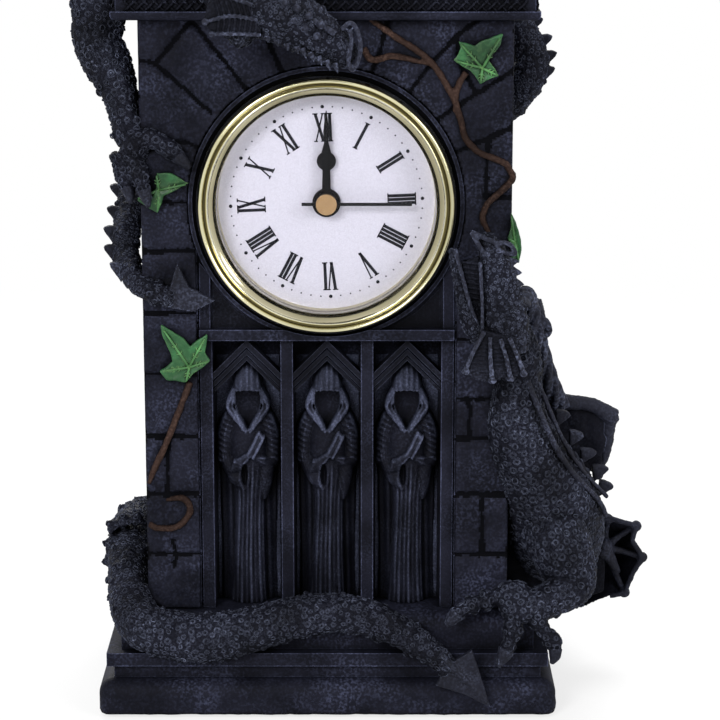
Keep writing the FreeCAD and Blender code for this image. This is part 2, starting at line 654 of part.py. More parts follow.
# Barbed blades at the tails' ends, as (x, z) corners and their depth
UPPER_BLADE_SHARES = ((-0.86, 0.612), (-0.80, 0.662), (-0.74, 0.628), (-0.60, 0.608), (-0.72, 0.592), (-0.89, 0.600))
UPPER_BLADE_AT_SHARE = -1.12
LOWER_BLADE_SHARES = ((0.53, 0.90), (0.65, 1.16), (0.70, 0.66), (0.735, 0.26), (0.62, 0.46), (0.49, 0.60))
LOWER_BLADE_AT_SHARE = -1.12


def spikes(rows, sizes=TOWER_SIZES):
    return [spike(at(foot, sizes), at(point, sizes), share * GIRTH) for foot, point, share in rows]


def web(corners, sizes, at_share):
    """A thin upright sheet facing the front."""
    y = at_share * sizes[1]
    return plate([(x * sizes[0], z * sizes[2]) for x, z in corners], y - WING_T / 2, y + WING_T / 2)


def wing(bones, corners, at_share):
    """A wing of round bones with a thin web between them."""
    return joined([web(corners, TOWER_SIZES, at_share)] + [limb(route(bone, TOWER_SIZES)) for bone in bones])


def insert_path():
    """The space in front of the tower that the insert takes when it is pulled out."""
    return rod(BEZEL_D + 4 * FREE_GAP, 2 * FRONT - BEZEL_D, FRONT)


# Ivy and vines. Each stem's rows hold x and z as shares of the tower's half width and the eaves' height.
RIGHT_STEMS_SHARES = (
    ((0.25, 0.998), (0.38, 0.964), (0.51, 0.941), (0.58, 0.922), (0.645, 0.892), (0.68, 0.867), (0.70, 0.846),
     (0.755, 0.829), (0.86, 0.818), (0.94, 0.804), (0.975, 0.787), (0.96, 0.776), (0.90, 0.778), (0.845, 0.773),
     (0.795, 0.755), (0.775, 0.737), (0.80, 0.716), (0.845, 0.708)),
    ((0.20, 0.964), (0.27, 0.946), (0.38, 0.953), (0.55, 0.932)),
    ((0.74, 0.930), (0.70, 0.912), (0.68, 0.870)),
)
LEFT_STEMS_SHARES = (
    ((-0.72, 0.495), (-0.785, 0.459), (-0.86, 0.407), (-0.93, 0.363), (-0.965, 0.341), (-0.965, 0.322)),
    ((-0.965, 0.322), (-0.835, 0.317), (-0.75, 0.311), (-0.735, 0.296), (-0.78, 0.278), (-0.85, 0.269),
     (-0.93, 0.275), (-0.97, 0.273)),
)
# Leaves: x and z shares of the middle, the turn in degrees, and the span as a share of a full leaf
RIGHT_LEAVES_SHARES = (((0.80, 0.945), -20.0, 1.00), ((0.955, 0.693), 10.0, 0.85))
LEFT_LEAVES_SHARES = (((-0.82, 0.757), 70.0, 0.80), ((-0.77, 0.530), 15.0, 1.05))
# An ivy leaf's outline about its middle, as shares of half its span
IVY_SHARES = (
    (0.0, -0.85), (0.55, -0.75), (0.45, -0.30), (1.0, -0.05), (0.55, 0.30), (0.35, 0.45), (0.0, 1.05),
    (-0.35, 0.45), (-0.55, 0.30), (-1.0, -0.05), (-0.45, -0.30), (-0.55, -0.75),
)


def vine(stems):
    """Woody stems on the stone, of short round runs with a knuckle at each bend."""
    y = FRONT - VINE_D * VINE_OUT_SHARE
    pieces = []
    for rows in stems:
        points = [V(x * HALF_W, y, z * EAVE) for x, z in rows]
        pieces += [ball(point, VINE_D) for point in points]
        for start, end in zip(points, points[1:]):
            way = end.sub(start)
            pieces.append(Part.makeCylinder(VINE_D / 2, way.Length, start, way))
    return seated(pieces[0].fuse(pieces[1:]), tower_envelope(), eave_moulding(), insert_path())


VINE_OUT_SHARE = 0.3


def leaf(middle, turn, span_share):
    half = span_share * LEAF_SPAN / 2
    swing = math.radians(turn)
    x0, z0 = middle[0] * HALF_W, middle[1] * EAVE
    points = []
    for across, up in IVY_SHARES:
        x = half * (across * math.cos(swing) - up * math.sin(swing))
        z = half * (across * math.sin(swing) + up * math.cos(swing))
        points.append((x0 + x, z0 + z))
    back = FRONT - VINE_D
    blade = plate(points, back - LEAF_T, back)
    stalk = Part.makeCylinder(VINE_D / 2, VINE_D + LEAF_T / 2, V(x0, back - LEAF_T / 2, z0), BACK)
    return seated(blade.fuse(stalk), tower_envelope(), insert_path())


# The clock insert's outer pieces

def about_hand_axis(profile):
    """A solid turned about the hand axis from (radius, y) points."""
    centre = V(0, 0, AXIS_Z)
    points = [V(radius, y, AXIS_Z) for radius, y in profile]
    return Part.Face(Part.makePolygon(points + points[:1])).revolve(centre, BACK, TURN)


def bezel():
    """The bright ring: a flange, a rounded bead and a slope down to the mouth."""
    outer, mouth, pocket = BEZEL_D / 2, BEZEL_MOUTH_D / 2, POCKET_D / 2
    flange = BEZEL_BACK - BEZEL_H * FLANGE_SHARE
    crest = (outer + mouth) / 2 + (outer - mouth) * CREST_SHARE
    corner = V(outer, flange, AXIS_Z)
    swell = V(outer - (outer - crest) * SWELL_SHARE, BEZEL_FRONT + BEZEL_H * SWELL_SHARE, AXIS_Z)
    top = V(crest, BEZEL_FRONT, AXIS_Z)
    straight = [top, V(mouth, LENS_FRONT - BEZEL_LIP_T * MOUTH_SHARE, AXIS_Z), V(mouth, LENS_FRONT, AXIS_Z),
                V(pocket, LENS_FRONT, AXIS_Z), V(pocket, BEZEL_BACK, AXIS_Z), V(outer, BEZEL_BACK, AXIS_Z), corner]
    edges = [Part.Arc(corner, swell, top).toShape()]
    edges += [Part.makeLine(start, end) for start, end in zip(straight, straight[1:])]
    return Part.Face(Part.Wire(edges)).revolve(V(0, 0, AXIS_Z), BACK, TURN)


FLANGE_SHARE = 0.18
CREST_SHARE = 0.12
SWELL_SHARE = 0.25
MOUTH_SHARE = 0.45


def lens():
    return rod(CUP_D - 4 * RUNNING_GAP, LENS_FRONT, LENS_BACK)


def reflector_ring():
    outer = CUP_INNER_D / 2 - RUNNING_GAP
    shown = DIAL_SHOW_D / 2
    lip = (outer + shown) / 2
    return about_hand_axis([(lip, LENS_BACK), (outer, LENS_BACK), (outer, DIAL_FRONT), (shown, DIAL_FRONT)])


def dial():
    return tube(CUP_INNER_D - 2 * RUNNING_GAP, BUSH_D + 2 * RUNNING_GAP, DIAL_FRONT, DIAL_BACK)


def insert_cup():
    """The drum behind the dial, open at the back, with a partition that carries the movement."""
    drum = tube(CUP_D, CUP_INNER_D, LENS_BACK, CUP_END)
    partition = tube(CUP_D, BUSH_D + 2 * RUNNING_GAP, DIAL_BACK, PARTITION_BACK)
    return joined([drum, partition])


def gasket():
    back = CUP_END - GASKET_W * GASKET_BACK_SHARE
    return tube(CUP_D + 2 * GASKET_T, CUP_D + 2 * GLUE_GAP, back - GASKET_W, back)


GASKET_BACK_SHARE = 0.6


def centre_nut():
    nut = tube(NUT_D, BUSH_D, NUT_FRONT, DIAL_FRONT)
    return nut.cut([rod(NUT_T, NUT_FRONT - OVERRUN, DIAL_FRONT + OVERRUN, side * NUT_D / 2) for side in (-1, 1)])


# Hands: blades as (across, along) outlines, all pointing up but the second hand

def hand_blade(outline, y, hole_d, boss_d):
    points = [(across, AXIS_Z + along) for across, along in outline]
    blade = joined([plate(points, y, y + HAND_T), rod(boss_d, y, y + HAND_T)])
    return blade.cut(rod(hole_d, y - OVERRUN, y + HAND_T + OVERRUN))


def hour_hand():
    half, ball_half = HOUR_HAND_W / 2, HOUR_BALL_D / 2
    neck = half * HAND_NECK_SHARE
    outline = [(-half, 0), (half, 0), (neck, HOUR_BALL_AT), (half, HOUR_BALL_AT + ball_half),
               (0, HOUR_HAND_L), (-half, HOUR_BALL_AT + ball_half), (-neck, HOUR_BALL_AT)]
    blade = hand_blade(outline, HOUR_Y, HOUR_TUBE_D + 2 * GLUE_GAP, NUT_D)
    return joined([blade, rod(HOUR_BALL_D, HOUR_Y, HOUR_Y + HAND_T, 0, HOUR_BALL_AT)])


HAND_NECK_SHARE = 0.8


def minute_hand():
    half, swell = MINUTE_HAND_W / 2, MINUTE_SWELL_W / 2
    swell_at = MINUTE_HAND_L * SWELL_AT_SHARE
    neck = swell_at * SWELL_AT_SHARE
    outline = [(-half, 0), (half, 0), (half, neck), (swell, swell_at), (0, MINUTE_HAND_L),
               (-swell, swell_at), (-half, neck)]
    return hand_blade(outline, MINUTE_Y, MINUTE_TUBE_D + 2 * GLUE_GAP, NUT_D * MINUTE_BOSS_SHARE)


SWELL_AT_SHARE = 0.76
MINUTE_BOSS_SHARE = 0.8


def second_hand():
    half = SECOND_HAND_W / 2
    blade = box(-SECOND_TAIL_L, SECOND_HAND_L, SECOND_Y, SECOND_Y + HAND_T, AXIS_Z - half, AXIS_Z + half)
    cap = rod(HUB_CAP_D, HUB_CAP_Y, SECOND_Y + HAND_T)
    socket = rod(SECOND_ARBOR_D + 2 * GLUE_GAP, SECOND_Y, SECOND_Y + HAND_T + OVERRUN)
    return joined([cap, blade]).cut(socket)


# Wheels: each layer is a share of the room behind the front plate

def spot(centres, towards, start=(0, 0)):
    angle = math.radians(towards)
    return (start[0] + centres * math.cos(angle), start[1] + centres * math.sin(angle))


def toothed(teeth, centres, pair_teeth, thickness, layer_share, place, towards, gap):
    """A spur wheel. A tooth points towards its partner, or a gap does."""
    module = 2 * centres / (teeth + pair_teeth)
    tip = module * (teeth / 2 + ADDENDUM_SHARE)
    root = module * (teeth / 2 - DEDENDUM_SHARE)
    step = 2 * math.pi / teeth
    start = math.radians(towards) + (step / 2 if gap else 0)
    points = []
    for tooth in range(teeth):
        middle = start + tooth * step
        for radius, share in ((root, -ROOT_WIDTH_SHARE), (tip, -TIP_WIDTH_SHARE), (tip, TIP_WIDTH_SHARE),
                              (root, ROOT_WIDTH_SHARE)):
            angle = middle + share * step
            points.append((place[0] + radius * math.cos(angle), AXIS_Z + place[1] + radius * math.sin(angle)))
    y = layer(layer_share)
    return plate(points, y - thickness / 2, y + thickness / 2)


def layer(share):
    return GEARS_FRONT + share * GEAR_ROOM


ORIGIN = (0, 0)
MOTION_PLACE = spot(MOTION_CENTRES, MOTION_TOWARDS)
THIRD_PLACE = spot(THIRD_CENTRES, THIRD_TOWARDS)
MIDDLE_PLACE = spot(MIDDLE_CENTRES, MIDDLE_TOWARDS)
ROTOR_PLACE = spot(ROTOR_CENTRES, ROTOR_TOWARDS, MIDDLE_PLACE)
HALF_TURN = 180
HOUR_BORE = MINUTE_TUBE_D + 2 * RUNNING_GAP
MINUTE_BORE = SECOND_ARBOR_D + 2 * RUNNING_GAP
PIVOT_HOLE = PIVOT_D + 2 * RUNNING_GAP


def hour_wheel():
    wheel = toothed(HOUR_TEETH, MOTION_CENTRES, MOTION_PINION_TEETH, PINION_T, HOUR_LAYER_SHARE, ORIGIN,
                    MOTION_TOWARDS, False)
    pipe = rod(HOUR_TUBE_D, HOUR_Y, layer(HOUR_LAYER_SHARE))
    bore = rod(HOUR_BORE, HOUR_Y - OVERRUN, layer(HOUR_LAYER_SHARE) + OVERRUN)
    return joined([wheel, pipe]).cut(bore)


def cannon_pinion():
    y = layer(MOTION_LAYER_SHARE)
    pinion = toothed(CANNON_TEETH, MOTION_CENTRES, MOTION_TEETH, PINION_T, MOTION_LAYER_SHARE, ORIGIN,
                     MOTION_TOWARDS, True)
    pipe = rod(MINUTE_TUBE_D, MINUTE_Y, y)
    return joined([pinion, pipe]).cut(rod(MINUTE_BORE, MINUTE_Y - OVERRUN, y + PINION_T))


def centre_wheel():
    wheel = toothed(CENTRE_TEETH, THIRD_CENTRES, THIRD_PINION_TEETH, WHEEL_T, CENTRE_LAYER_SHARE, ORIGIN,
                    THIRD_TOWARDS, False)
    y = layer(CENTRE_LAYER_SHARE)
    return wheel.cut(rod(MINUTE_BORE, y - WHEEL_T, y + WHEEL_T))


def arbor(place, y0, y1):
    """A wheel's shaft with a thinner pivot at each end, running in the plates' holes."""
    pivot = FRONT_PLATE_T * PIVOT_SHARE
    return [rod(ARBOR_D, y0 + RUNNING_GAP, y1 - RUNNING_GAP, *place), rod(PIVOT_D, y0 - pivot, y1 + pivot, *place)]


PIVOT_SHARE = 0.5


def setting_arbor():
    """The motion wheel and its pinion on the shaft that ends in the setting knob."""
    wheel = toothed(MOTION_TEETH, MOTION_CENTRES, CANNON_TEETH, WHEEL_T, MOTION_LAYER_SHARE, MOTION_PLACE,
                    MOTION_TOWARDS + HALF_TURN, False)
    pinion = toothed(MOTION_PINION_TEETH, MOTION_CENTRES, HOUR_TEETH, PINION_T, HOUR_LAYER_SHARE, MOTION_PLACE,
                     MOTION_TOWARDS + HALF_TURN, True)
    pivot = FRONT_PLATE_T * PIVOT_SHARE
    shaft = rod(ARBOR_D, GEARS_FRONT + RUNNING_GAP, CASE_BACK + KNOB_T / 2, *MOTION_PLACE)
    nose = rod(PIVOT_D, GEARS_FRONT - pivot, GEARS_FRONT + pivot, *MOTION_PLACE)
    return joined([wheel, pinion, shaft, nose])


def setting_knob():
    """A fluted thumb knob on the end of the setting arbor."""
    y = CASE_BACK + FREE_GAP
    knob = rod(KNOB_D, y, y + KNOB_T, *MOTION_PLACE)
    flutes = []
    for flute in range(KNOB_FLUTES):
        angle = 2 * math.pi * flute / KNOB_FLUTES
        x = MOTION_PLACE[0] + math.cos(angle) * KNOB_D / 2
        z = MOTION_PLACE[1] + math.sin(angle) * KNOB_D / 2
        flutes.append(rod(KNOB_D * FLUTE_SHARE, y - OVERRUN, y + KNOB_T + OVERRUN, x, z))
    socket = rod(ARBOR_D + 2 * GLUE_GAP, y - OVERRUN, CASE_BACK + KNOB_T / 2, *MOTION_PLACE)
    return knob.cut(flutes + [socket])


KNOB_FLUTES = 12
FLUTE_SHARE = 0.12


def third_wheel():
    wheel = toothed(THIRD_TEETH, THIRD_CENTRES, SECOND_PINION_TEETH, WHEEL_T, THIRD_LAYER_SHARE, THIRD_PLACE,
                    THIRD_TOWARDS + HALF_TURN, False)
    pinion = toothed(THIRD_PINION_TEETH, THIRD_CENTRES, CENTRE_TEETH, PINION_T, CENTRE_LAYER_SHARE, THIRD_PLACE,
                     THIRD_TOWARDS + HALF_TURN, True)
    return joined([wheel, pinion] + arbor(THIRD_PLACE, GEARS_FRONT, MID_PLATE))


def second_wheel():
    """The second wheel and pinion on the long arbor that carries the second hand."""
    wheel = toothed(SECOND_TEETH, MIDDLE_CENTRES, MIDDLE_PINION_TEETH, WHEEL_T, SECOND_LAYER_SHARE, ORIGIN,
                    MIDDLE_TOWARDS, False)
    pinion = toothed(SECOND_PINION_TEETH, THIRD_CENTRES, THIRD_TEETH, PINION_T, THIRD_LAYER_SHARE, ORIGIN,
                     THIRD_TOWARDS, True)
    long_arbor = rod(SECOND_ARBOR_D, SECOND_Y, GEARS_BACK - RUNNING_GAP)
    pivot = rod(PIVOT_D, GEARS_BACK - FREE_GAP, GEARS_BACK + BACK_PLATE_T * PIVOT_SHARE)
    return joined([wheel, pinion, long_arbor, pivot])


def middle_wheel():
    wheel = toothed(MIDDLE_TEETH, ROTOR_CENTRES, ROTOR_PINION_TEETH, WHEEL_T, MIDDLE_LAYER_SHARE, MIDDLE_PLACE,
                    ROTOR_TOWARDS, False)
    pinion = toothed(MIDDLE_PINION_TEETH, MIDDLE_CENTRES, SECOND_TEETH, PINION_T, SECOND_LAYER_SHARE,
                     MIDDLE_PLACE, MIDDLE_TOWARDS + HALF_TURN, True)
    return joined([wheel, pinion] + arbor(MIDDLE_PLACE, MID_PLATE + MID_PLATE_T, GEARS_BACK))


def rotor():
    """The magnet and its pinion."""
    pinion = toothed(ROTOR_PINION_TEETH, ROTOR_CENTRES, MIDDLE_TEETH, PINION_T, MIDDLE_LAYER_SHARE, ROTOR_PLACE,
                     ROTOR_TOWARDS + HALF_TURN, True)
    magnet = rod(ROTOR_D, layer(MAGNET_LAYER_SHARE), layer(MAGNET_LAYER_SHARE) + ROTOR_L, *ROTOR_PLACE)
    return joined([pinion, magnet] + arbor(ROTOR_PLACE, MID_PLATE + MID_PLATE_T, GEARS_BACK))


# The movement's fixed pieces

def rounded_case(half, y0, y1):
    case = box(-half, half, y0, y1, AXIS_Z - half, AXIS_Z + half)
    corners = [e for e in case.Edges if e.BoundBox.YLength > (y1 - y0) / 2]
    return case.makeFillet(CASE_ROUND, corners)


def holes(y0, y1, sizes_and_places):
    return [rod(size, y0 - OVERRUN, y1 + OVERRUN, *place) for size, place in sizes_and_places]


def screw_places():
    """Three of the movement's corners: the fourth is the cell's."""
    return [(x * SCREW_AT, z * SCREW_AT) for x, z in ((-1, 1), (1, 1), (1, -1))]


def front_plate():
    """The movement's front plate with the bush that passes through the dial."""
    base = rounded_case(CASE_HALF, CASE_FRONT, GEARS_FRONT)
    bush = rod(BUSH_D - 2 * RUNNING_GAP, NUT_FRONT, GEARS_FRONT)
    pivots = [(PIVOT_HOLE, THIRD_PLACE), (PIVOT_HOLE, MOTION_PLACE), (HOUR_TUBE_D + 2 * RUNNING_GAP, ORIGIN)]
    return joined([base, bush]).cut(holes(NUT_FRONT, GEARS_FRONT, pivots))


def mid_plate():
    """The bridge between the two halves of the train."""
    half = MID_PLATE_W / 2
    low = -half * MID_PLATE_CUT_SHARE
    bridge = box(-half, half, MID_PLATE, MID_PLATE + MID_PLATE_T, AXIS_Z + low, AXIS_Z + half * MID_PLATE_TOP_SHARE)
    pivots = [(PIVOT_HOLE, THIRD_PLACE), (PIVOT_HOLE, MIDDLE_PLACE), (PIVOT_HOLE, ROTOR_PLACE),
              (SECOND_ARBOR_D + 2 * RUNNING_GAP, ORIGIN)]
    feet = []
    for x_share, z in ((-1, low), (1, low)):
        foot_at = (x_share * (half - ARBOR_D), z + ARBOR_D)
        feet.append(rod(ARBOR_D, MID_PLATE, GEARS_BACK, *foot_at))
    return joined([bridge] + feet).cut(holes(MID_PLATE, MID_PLATE + MID_PLATE_T, pivots))


MID_PLATE_CUT_SHARE = 0.22
MID_PLATE_TOP_SHARE = 0.62


def movement_case():
    """The cover over the train: side walls and the back plate, with the cell's well and the knob's hole."""
    cover = rounded_case(CASE_HALF, GEARS_FRONT, CASE_BACK)
    inner_half = CASE_HALF - CASE_WALL
    room = box(-inner_half, inner_half, GEARS_FRONT - OVERRUN, GEARS_BACK, AXIS_Z - inner_half, AXIS_Z + inner_half)
    corner_posts = [rod(SCREW_HEAD_D, GEARS_FRONT, GEARS_BACK, *place) for place in screw_places()]
    cover = joined([cover.cut(room)] + corner_posts)
    pivots = [(PIVOT_HOLE, MIDDLE_PLACE), (PIVOT_HOLE, ROTOR_PLACE), (PIVOT_HOLE, ORIGIN)]
    pivot_holes = [rod(size, GEARS_BACK - OVERRUN, GEARS_BACK + BACK_PLATE_T * BLIND_SHARE, *place)
                   for size, place in pivots]
    through = holes(GEARS_BACK, CASE_BACK, [(CELL_D + 2 * FREE_GAP, (CELL_AT_X, CELL_AT_Z)),
                                            (ARBOR_D + 2 * RUNNING_GAP, MOTION_PLACE)])
    screw_holes = [rod(SCREW_D + 2 * GLUE_GAP, GEARS_FRONT - OVERRUN, CASE_BACK + OVERRUN, *place)
                   for place in screw_places()]
    guides = []
    for side in (-1, 1):
        x = CELL_AT_X + side * (COVER_W / 2 + FREE_GAP + COVER_T / 2)
        guides.append(box(x - COVER_T / 2, x + COVER_T / 2, CASE_BACK, CASE_BACK + COVER_T,
                          AXIS_Z + CELL_AT_Z - COVER_W / 2, AXIS_Z + CELL_AT_Z + COVER_W / 2))
    return joined([cover] + guides).cut(pivot_holes + through + screw_holes)


BLIND_SHARE = 0.7


def battery_cover():
    y = CASE_BACK + RUNNING_GAP
    half = COVER_W / 2
    z = AXIS_Z + CELL_AT_Z
    cover = box(CELL_AT_X - half, CELL_AT_X + half, y, y + COVER_T, z - half, z + half)
    ribs = []
    for rib in range(COVER_RIBS):
        rib_z = z + half * COVER_RIBS_SHARE * (rib / (COVER_RIBS - 1) - 1 / 2)
        ribs.append(box(CELL_AT_X - half / 2, CELL_AT_X + half / 2, y + COVER_T, y + COVER_T + HAND_T,
                        rib_z, rib_z + HAND_T))
    return joined([cover] + ribs)


COVER_RIBS = 5
COVER_RIBS_SHARE = 0.9


def button_cell():
    back = CASE_BACK - RUNNING_GAP
    can = rod(CELL_D, back - CELL_T * CELL_CAN_SHARE, back, CELL_AT_X, CELL_AT_Z)
    cap = rod(CELL_D * CELL_CAN_SHARE, back - CELL_T, back, CELL_AT_X, CELL_AT_Z)
    return joined([can, cap])


CELL_CAN_SHARE = 0.86


def cell_contacts():
    """The spring leaf under the cell's cap and the side contact, each on its way to the board."""
    leaf_back = CASE_BACK - RUNNING_GAP - CELL_T - GLUE_GAP
    z = AXIS_Z + CELL_AT_Z
    leaf_strip = box(CELL_AT_X - CELL_D / 4, BOARD_AT_X, leaf_back - FREE_GAP, leaf_back, z - WHEEL_T, z + WHEEL_T)
    x = CELL_AT_X + CELL_D / 2 + FREE_GAP
    side_strip = box(x, x + FREE_GAP, leaf_back + CELL_T / 2, GEARS_BACK - FREE_GAP, z - CELL_D / 4, z)
    return [leaf_strip, side_strip]


def stator():
    """The thin plate round the magnet, with two lugs up to the coil's core."""
    y = layer(MAGNET_LAYER_SHARE) + ROTOR_L / 4
    half = COIL_L / 2 + STATOR_T
    low = ROTOR_PLACE[1] - ROTOR_D
    top = COIL_AT_Z - COIL_D / 2 - FREE_GAP
    right = ROTOR_PLACE[0] + ROTOR_D
    bar = box(-half, right, y, y + STATOR_T, AXIS_Z + low, AXIS_Z + top)
    lugs = [box(x - STATOR_T, x + STATOR_T, y, y + STATOR_T, AXIS_Z + low, AXIS_Z + COIL_AT_Z + STATOR_T)
            for x in (-half, half)]
    openings = [(ROTOR_D + 2 * FREE_GAP, ROTOR_PLACE), (ARBOR_D + 2 * FREE_GAP, MIDDLE_PLACE)]
    return joined([bar] + lugs).cut(holes(y, y + STATOR_T, openings))


def coil():
    """The wound coil on its core, between two cheeks."""
    y = layer(MAGNET_LAYER_SHARE) + ROTOR_L / 4 - COIL_D / 2
    z = AXIS_Z + COIL_AT_Z
    half = COIL_L / 2 - STATOR_T
    winding = Part.makeCylinder(COIL_D / 2 - STATOR_T / 2, 2 * half, V(-half, y, z), RIGHT)
    cheeks = [Part.makeCylinder(COIL_D / 2, STATOR_T / 2, V(x, y, z), RIGHT) for x in (-half, half - STATOR_T / 2)]
    ends = []
    for side in (-1, 1):
        x = side * (COIL_L / 2 + STATOR_T)
        x_in = side * half
        ends.append(box(min(x, x_in), max(x, x_in), y - STATOR_T / 2, y + COIL_D / 2, z - STATOR_T, z + STATOR_T))
    return joined([winding] + cheeks + ends)


def circuit_board():
    back = GEARS_BACK - FREE_GAP
    board = box(BOARD_AT_X - BOARD_W / 2, BOARD_AT_X + BOARD_W / 2, back - BOARD_T, back,
                AXIS_Z + BOARD_AT_Z - BOARD_H / 2, AXIS_Z + BOARD_AT_Z + BOARD_H / 2)
    blob = Part.makeCone(CRYSTAL_D, CRYSTAL_D / 2, BOARD_T, V(BOARD_AT_X, back - BOARD_T, AXIS_Z + BOARD_AT_Z),
                         V(0, -1, 0))
    return joined([board, blob])


def crystal():
    """The quartz crystal's can, lying on the board."""
    y = GEARS_BACK - FREE_GAP - BOARD_T - CRYSTAL_D / 2
    z = AXIS_Z + BOARD_AT_Z + BOARD_H / 2 - CRYSTAL_D
    return Part.makeCylinder(CRYSTAL_D / 2, CRYSTAL_L, V(BOARD_AT_X - CRYSTAL_L / 2, y, z), RIGHT)


def case_screws():
    screws = []
    for place in screw_places():
        shank = rod(SCREW_D, GEARS_FRONT, CASE_BACK, *place)
        head = rod(SCREW_HEAD_D, CASE_BACK, CASE_BACK + SCREW_D / 2, *place)
        slot = box(place[0] - SCREW_HEAD_D, place[0] + SCREW_HEAD_D, CASE_BACK + SCREW_D / 4,
                   CASE_BACK + SCREW_D, AXIS_Z + place[1] - FREE_GAP / 2, AXIS_Z + place[1] + FREE_GAP / 2)
        screws.append(joined([shank, head]).cut(slot))
    return screws


# The dragons' pieces, each seated on what carries it

def upper_dragon():
    carriers = [tower_envelope(), block(EAVE_HALF_W, EAVE_HALF_D, EAVE, SPIRE_FOOT), spire()]
    body = seated(limb(route(UPPER_BODY_SHARES, TOWER_SIZES)), *carriers)
    head = joined([limb(route(UPPER_HEAD_SHARES, TOWER_SIZES))] + spikes(UPPER_HORN_SHARES))
    leg = joined([limb(route(GRIP_LEG_SHARES, TOWER_SIZES))] + spikes(GRIP_CLAWS_SHARES))
    blade = web(UPPER_BLADE_SHARES, TOWER_SIZES, UPPER_BLADE_AT_SHARE)
    tail = joined([limb(route(UPPER_TAIL_SHARES, TOWER_SIZES)), blade] + spikes(LEFT_TAIL_SPIKES_SHARES))
    raised = wing(RAISED_WING_BONES_SHARES, RAISED_WING_WEB_SHARES, RAISED_WING_WEB_AT_SHARE)
    far = wing(FAR_WING_BONES_SHARES, FAR_WING_WEB_SHARES, FAR_WING_WEB_AT_SHARE)
    return {
        "upper_dragon_body": body,
        "upper_dragon_head": seated(head, body, insert_path()),
        "upper_dragon_leg": seated(leg, body, *carriers),
        "upper_dragon_tail": seated(tail, body, *carriers),
        "upper_dragon_wing": seated(raised, body, spire()),
        "upper_dragon_far_wing": seated(far, body, spire()),
    }


def lower_dragon():
    carriers = [tower_envelope(), plinth()]
    body = joined([limb(route(LOWER_BODY_SHARES, TOWER_SIZES))] + spikes(BACK_FINS_SHARES))
    body = seated(body, *carriers)
    jaws = [limb(route(rows, TOWER_SIZES)) for rows in (LOWER_JAW_SHARES, UPPER_JAW_SHARES)]
    head = joined(jaws + spikes(LOWER_HORN_SHARES))
    leg = joined([limb(route(HIND_LEG_SHARES, TOWER_SIZES))] + spikes(HIND_CLAWS_SHARES))
    tail_route = route(LOWER_TAIL_BACK_SHARES, TOWER_SIZES) + route(LOWER_TAIL_FRONT_SHARES, PLINTH_SIZES)
    blade = web(LOWER_BLADE_SHARES, PLINTH_SIZES, LOWER_BLADE_AT_SHARE)
    tail = joined([limb(tail_route), blade] + spikes(BASE_TAIL_SPIKES_SHARES))
    near = wing(LOWER_WING_BONES_SHARES, LOWER_WING_WEB_SHARES, LOWER_WING_WEB_AT_SHARE)
    second = wing(SECOND_WING_BONES_SHARES, SECOND_WING_WEB_SHARES, SECOND_WING_WEB_AT_SHARE)
    return {
        "lower_dragon_body": body,
        "lower_dragon_head": seated(head, body, tower_envelope(), insert_path()),
        "lower_dragon_leg": seated(leg, body, *carriers),
        "lower_dragon_tail": seated(tail, body, *carriers),
        "lower_dragon_wing": seated(near, body, tower_envelope()),
        "lower_dragon_second_wing": seated(second, body, plinth()),
    }


BAYS = {"left": -1, "middle": 0, "right": 1}


def main():
    os.makedirs("parts", exist_ok=True)
    dragons = {**upper_dragon(), **lower_dragon()}
    claws = dragons["upper_dragon_leg"]
    right_vine, left_vine = vine(RIGHT_STEMS_SHARES), vine(LEFT_STEMS_SHARES)
    pieces = {
        "base_pad": base_pad(),
        "plinth": plinth(),
        "tower_shell": tower_shell(),
        "window_bars": Part.makeCompound(window_bars()),
        "eave_moulding": eave_moulding(),
        "eave_frieze": eave_frieze(),
        "spire": spire(),
        "finial": finial(),
        "lucarne": lucarne(),
        "bezel": bezel(),
        "lens": lens(),
        "reflector_ring": reflector_ring(),
        "dial": dial(),
        "insert_cup": insert_cup(),
        "gasket": gasket(),
        "centre_nut": centre_nut(),
        "hour_hand": hour_hand(),
        "minute_hand": minute_hand(),
        "second_hand": second_hand(),
        "hour_wheel": hour_wheel(),
        "cannon_pinion": cannon_pinion(),
        "centre_wheel": centre_wheel(),
        "third_wheel": third_wheel(),
        "second_wheel": second_wheel(),
        "middle_wheel": middle_wheel(),
        "rotor": rotor(),
        "setting_arbor": setting_arbor(),
        "setting_knob": setting_knob(),
        "movement_front_plate": front_plate(),
        "movement_bridge": mid_plate(),
        "movement_case": movement_case(),
        "battery_cover": battery_cover(),
        "button_cell": button_cell(),
        "cell_contacts": Part.makeCompound(cell_contacts()),
        "stator": stator(),
        "coil": coil(),
        "circuit_board": circuit_board(),
        "quartz_crystal": crystal(),
        "case_screws": Part.makeCompound(case_screws()),
        "vine_right": right_vine,
        "vine_left": left_vine,
        "ivy_right": Part.makeCompound([seated(leaf(*place), right_vine) for place in RIGHT_LEAVES_SHARES]),
        "ivy_left": Part.makeCompound([seated(leaf(*place), left_vine, claws) for place in LEFT_LEAVES_SHARES]),
        "window_heads": Part.makeCompound([window_head(step * BAY_PITCH) for step in BAYS.values()]),
    }
    for name, step in BAYS.items():
        pieces["monk_" + name] = monk(step * BAY_PITCH)
    for name, shape in {**pieces, **dragons}.items():
        save(name, shape)


main()
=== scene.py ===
import math

import bmesh
import bpy
import numpy as np
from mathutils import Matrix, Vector, noise


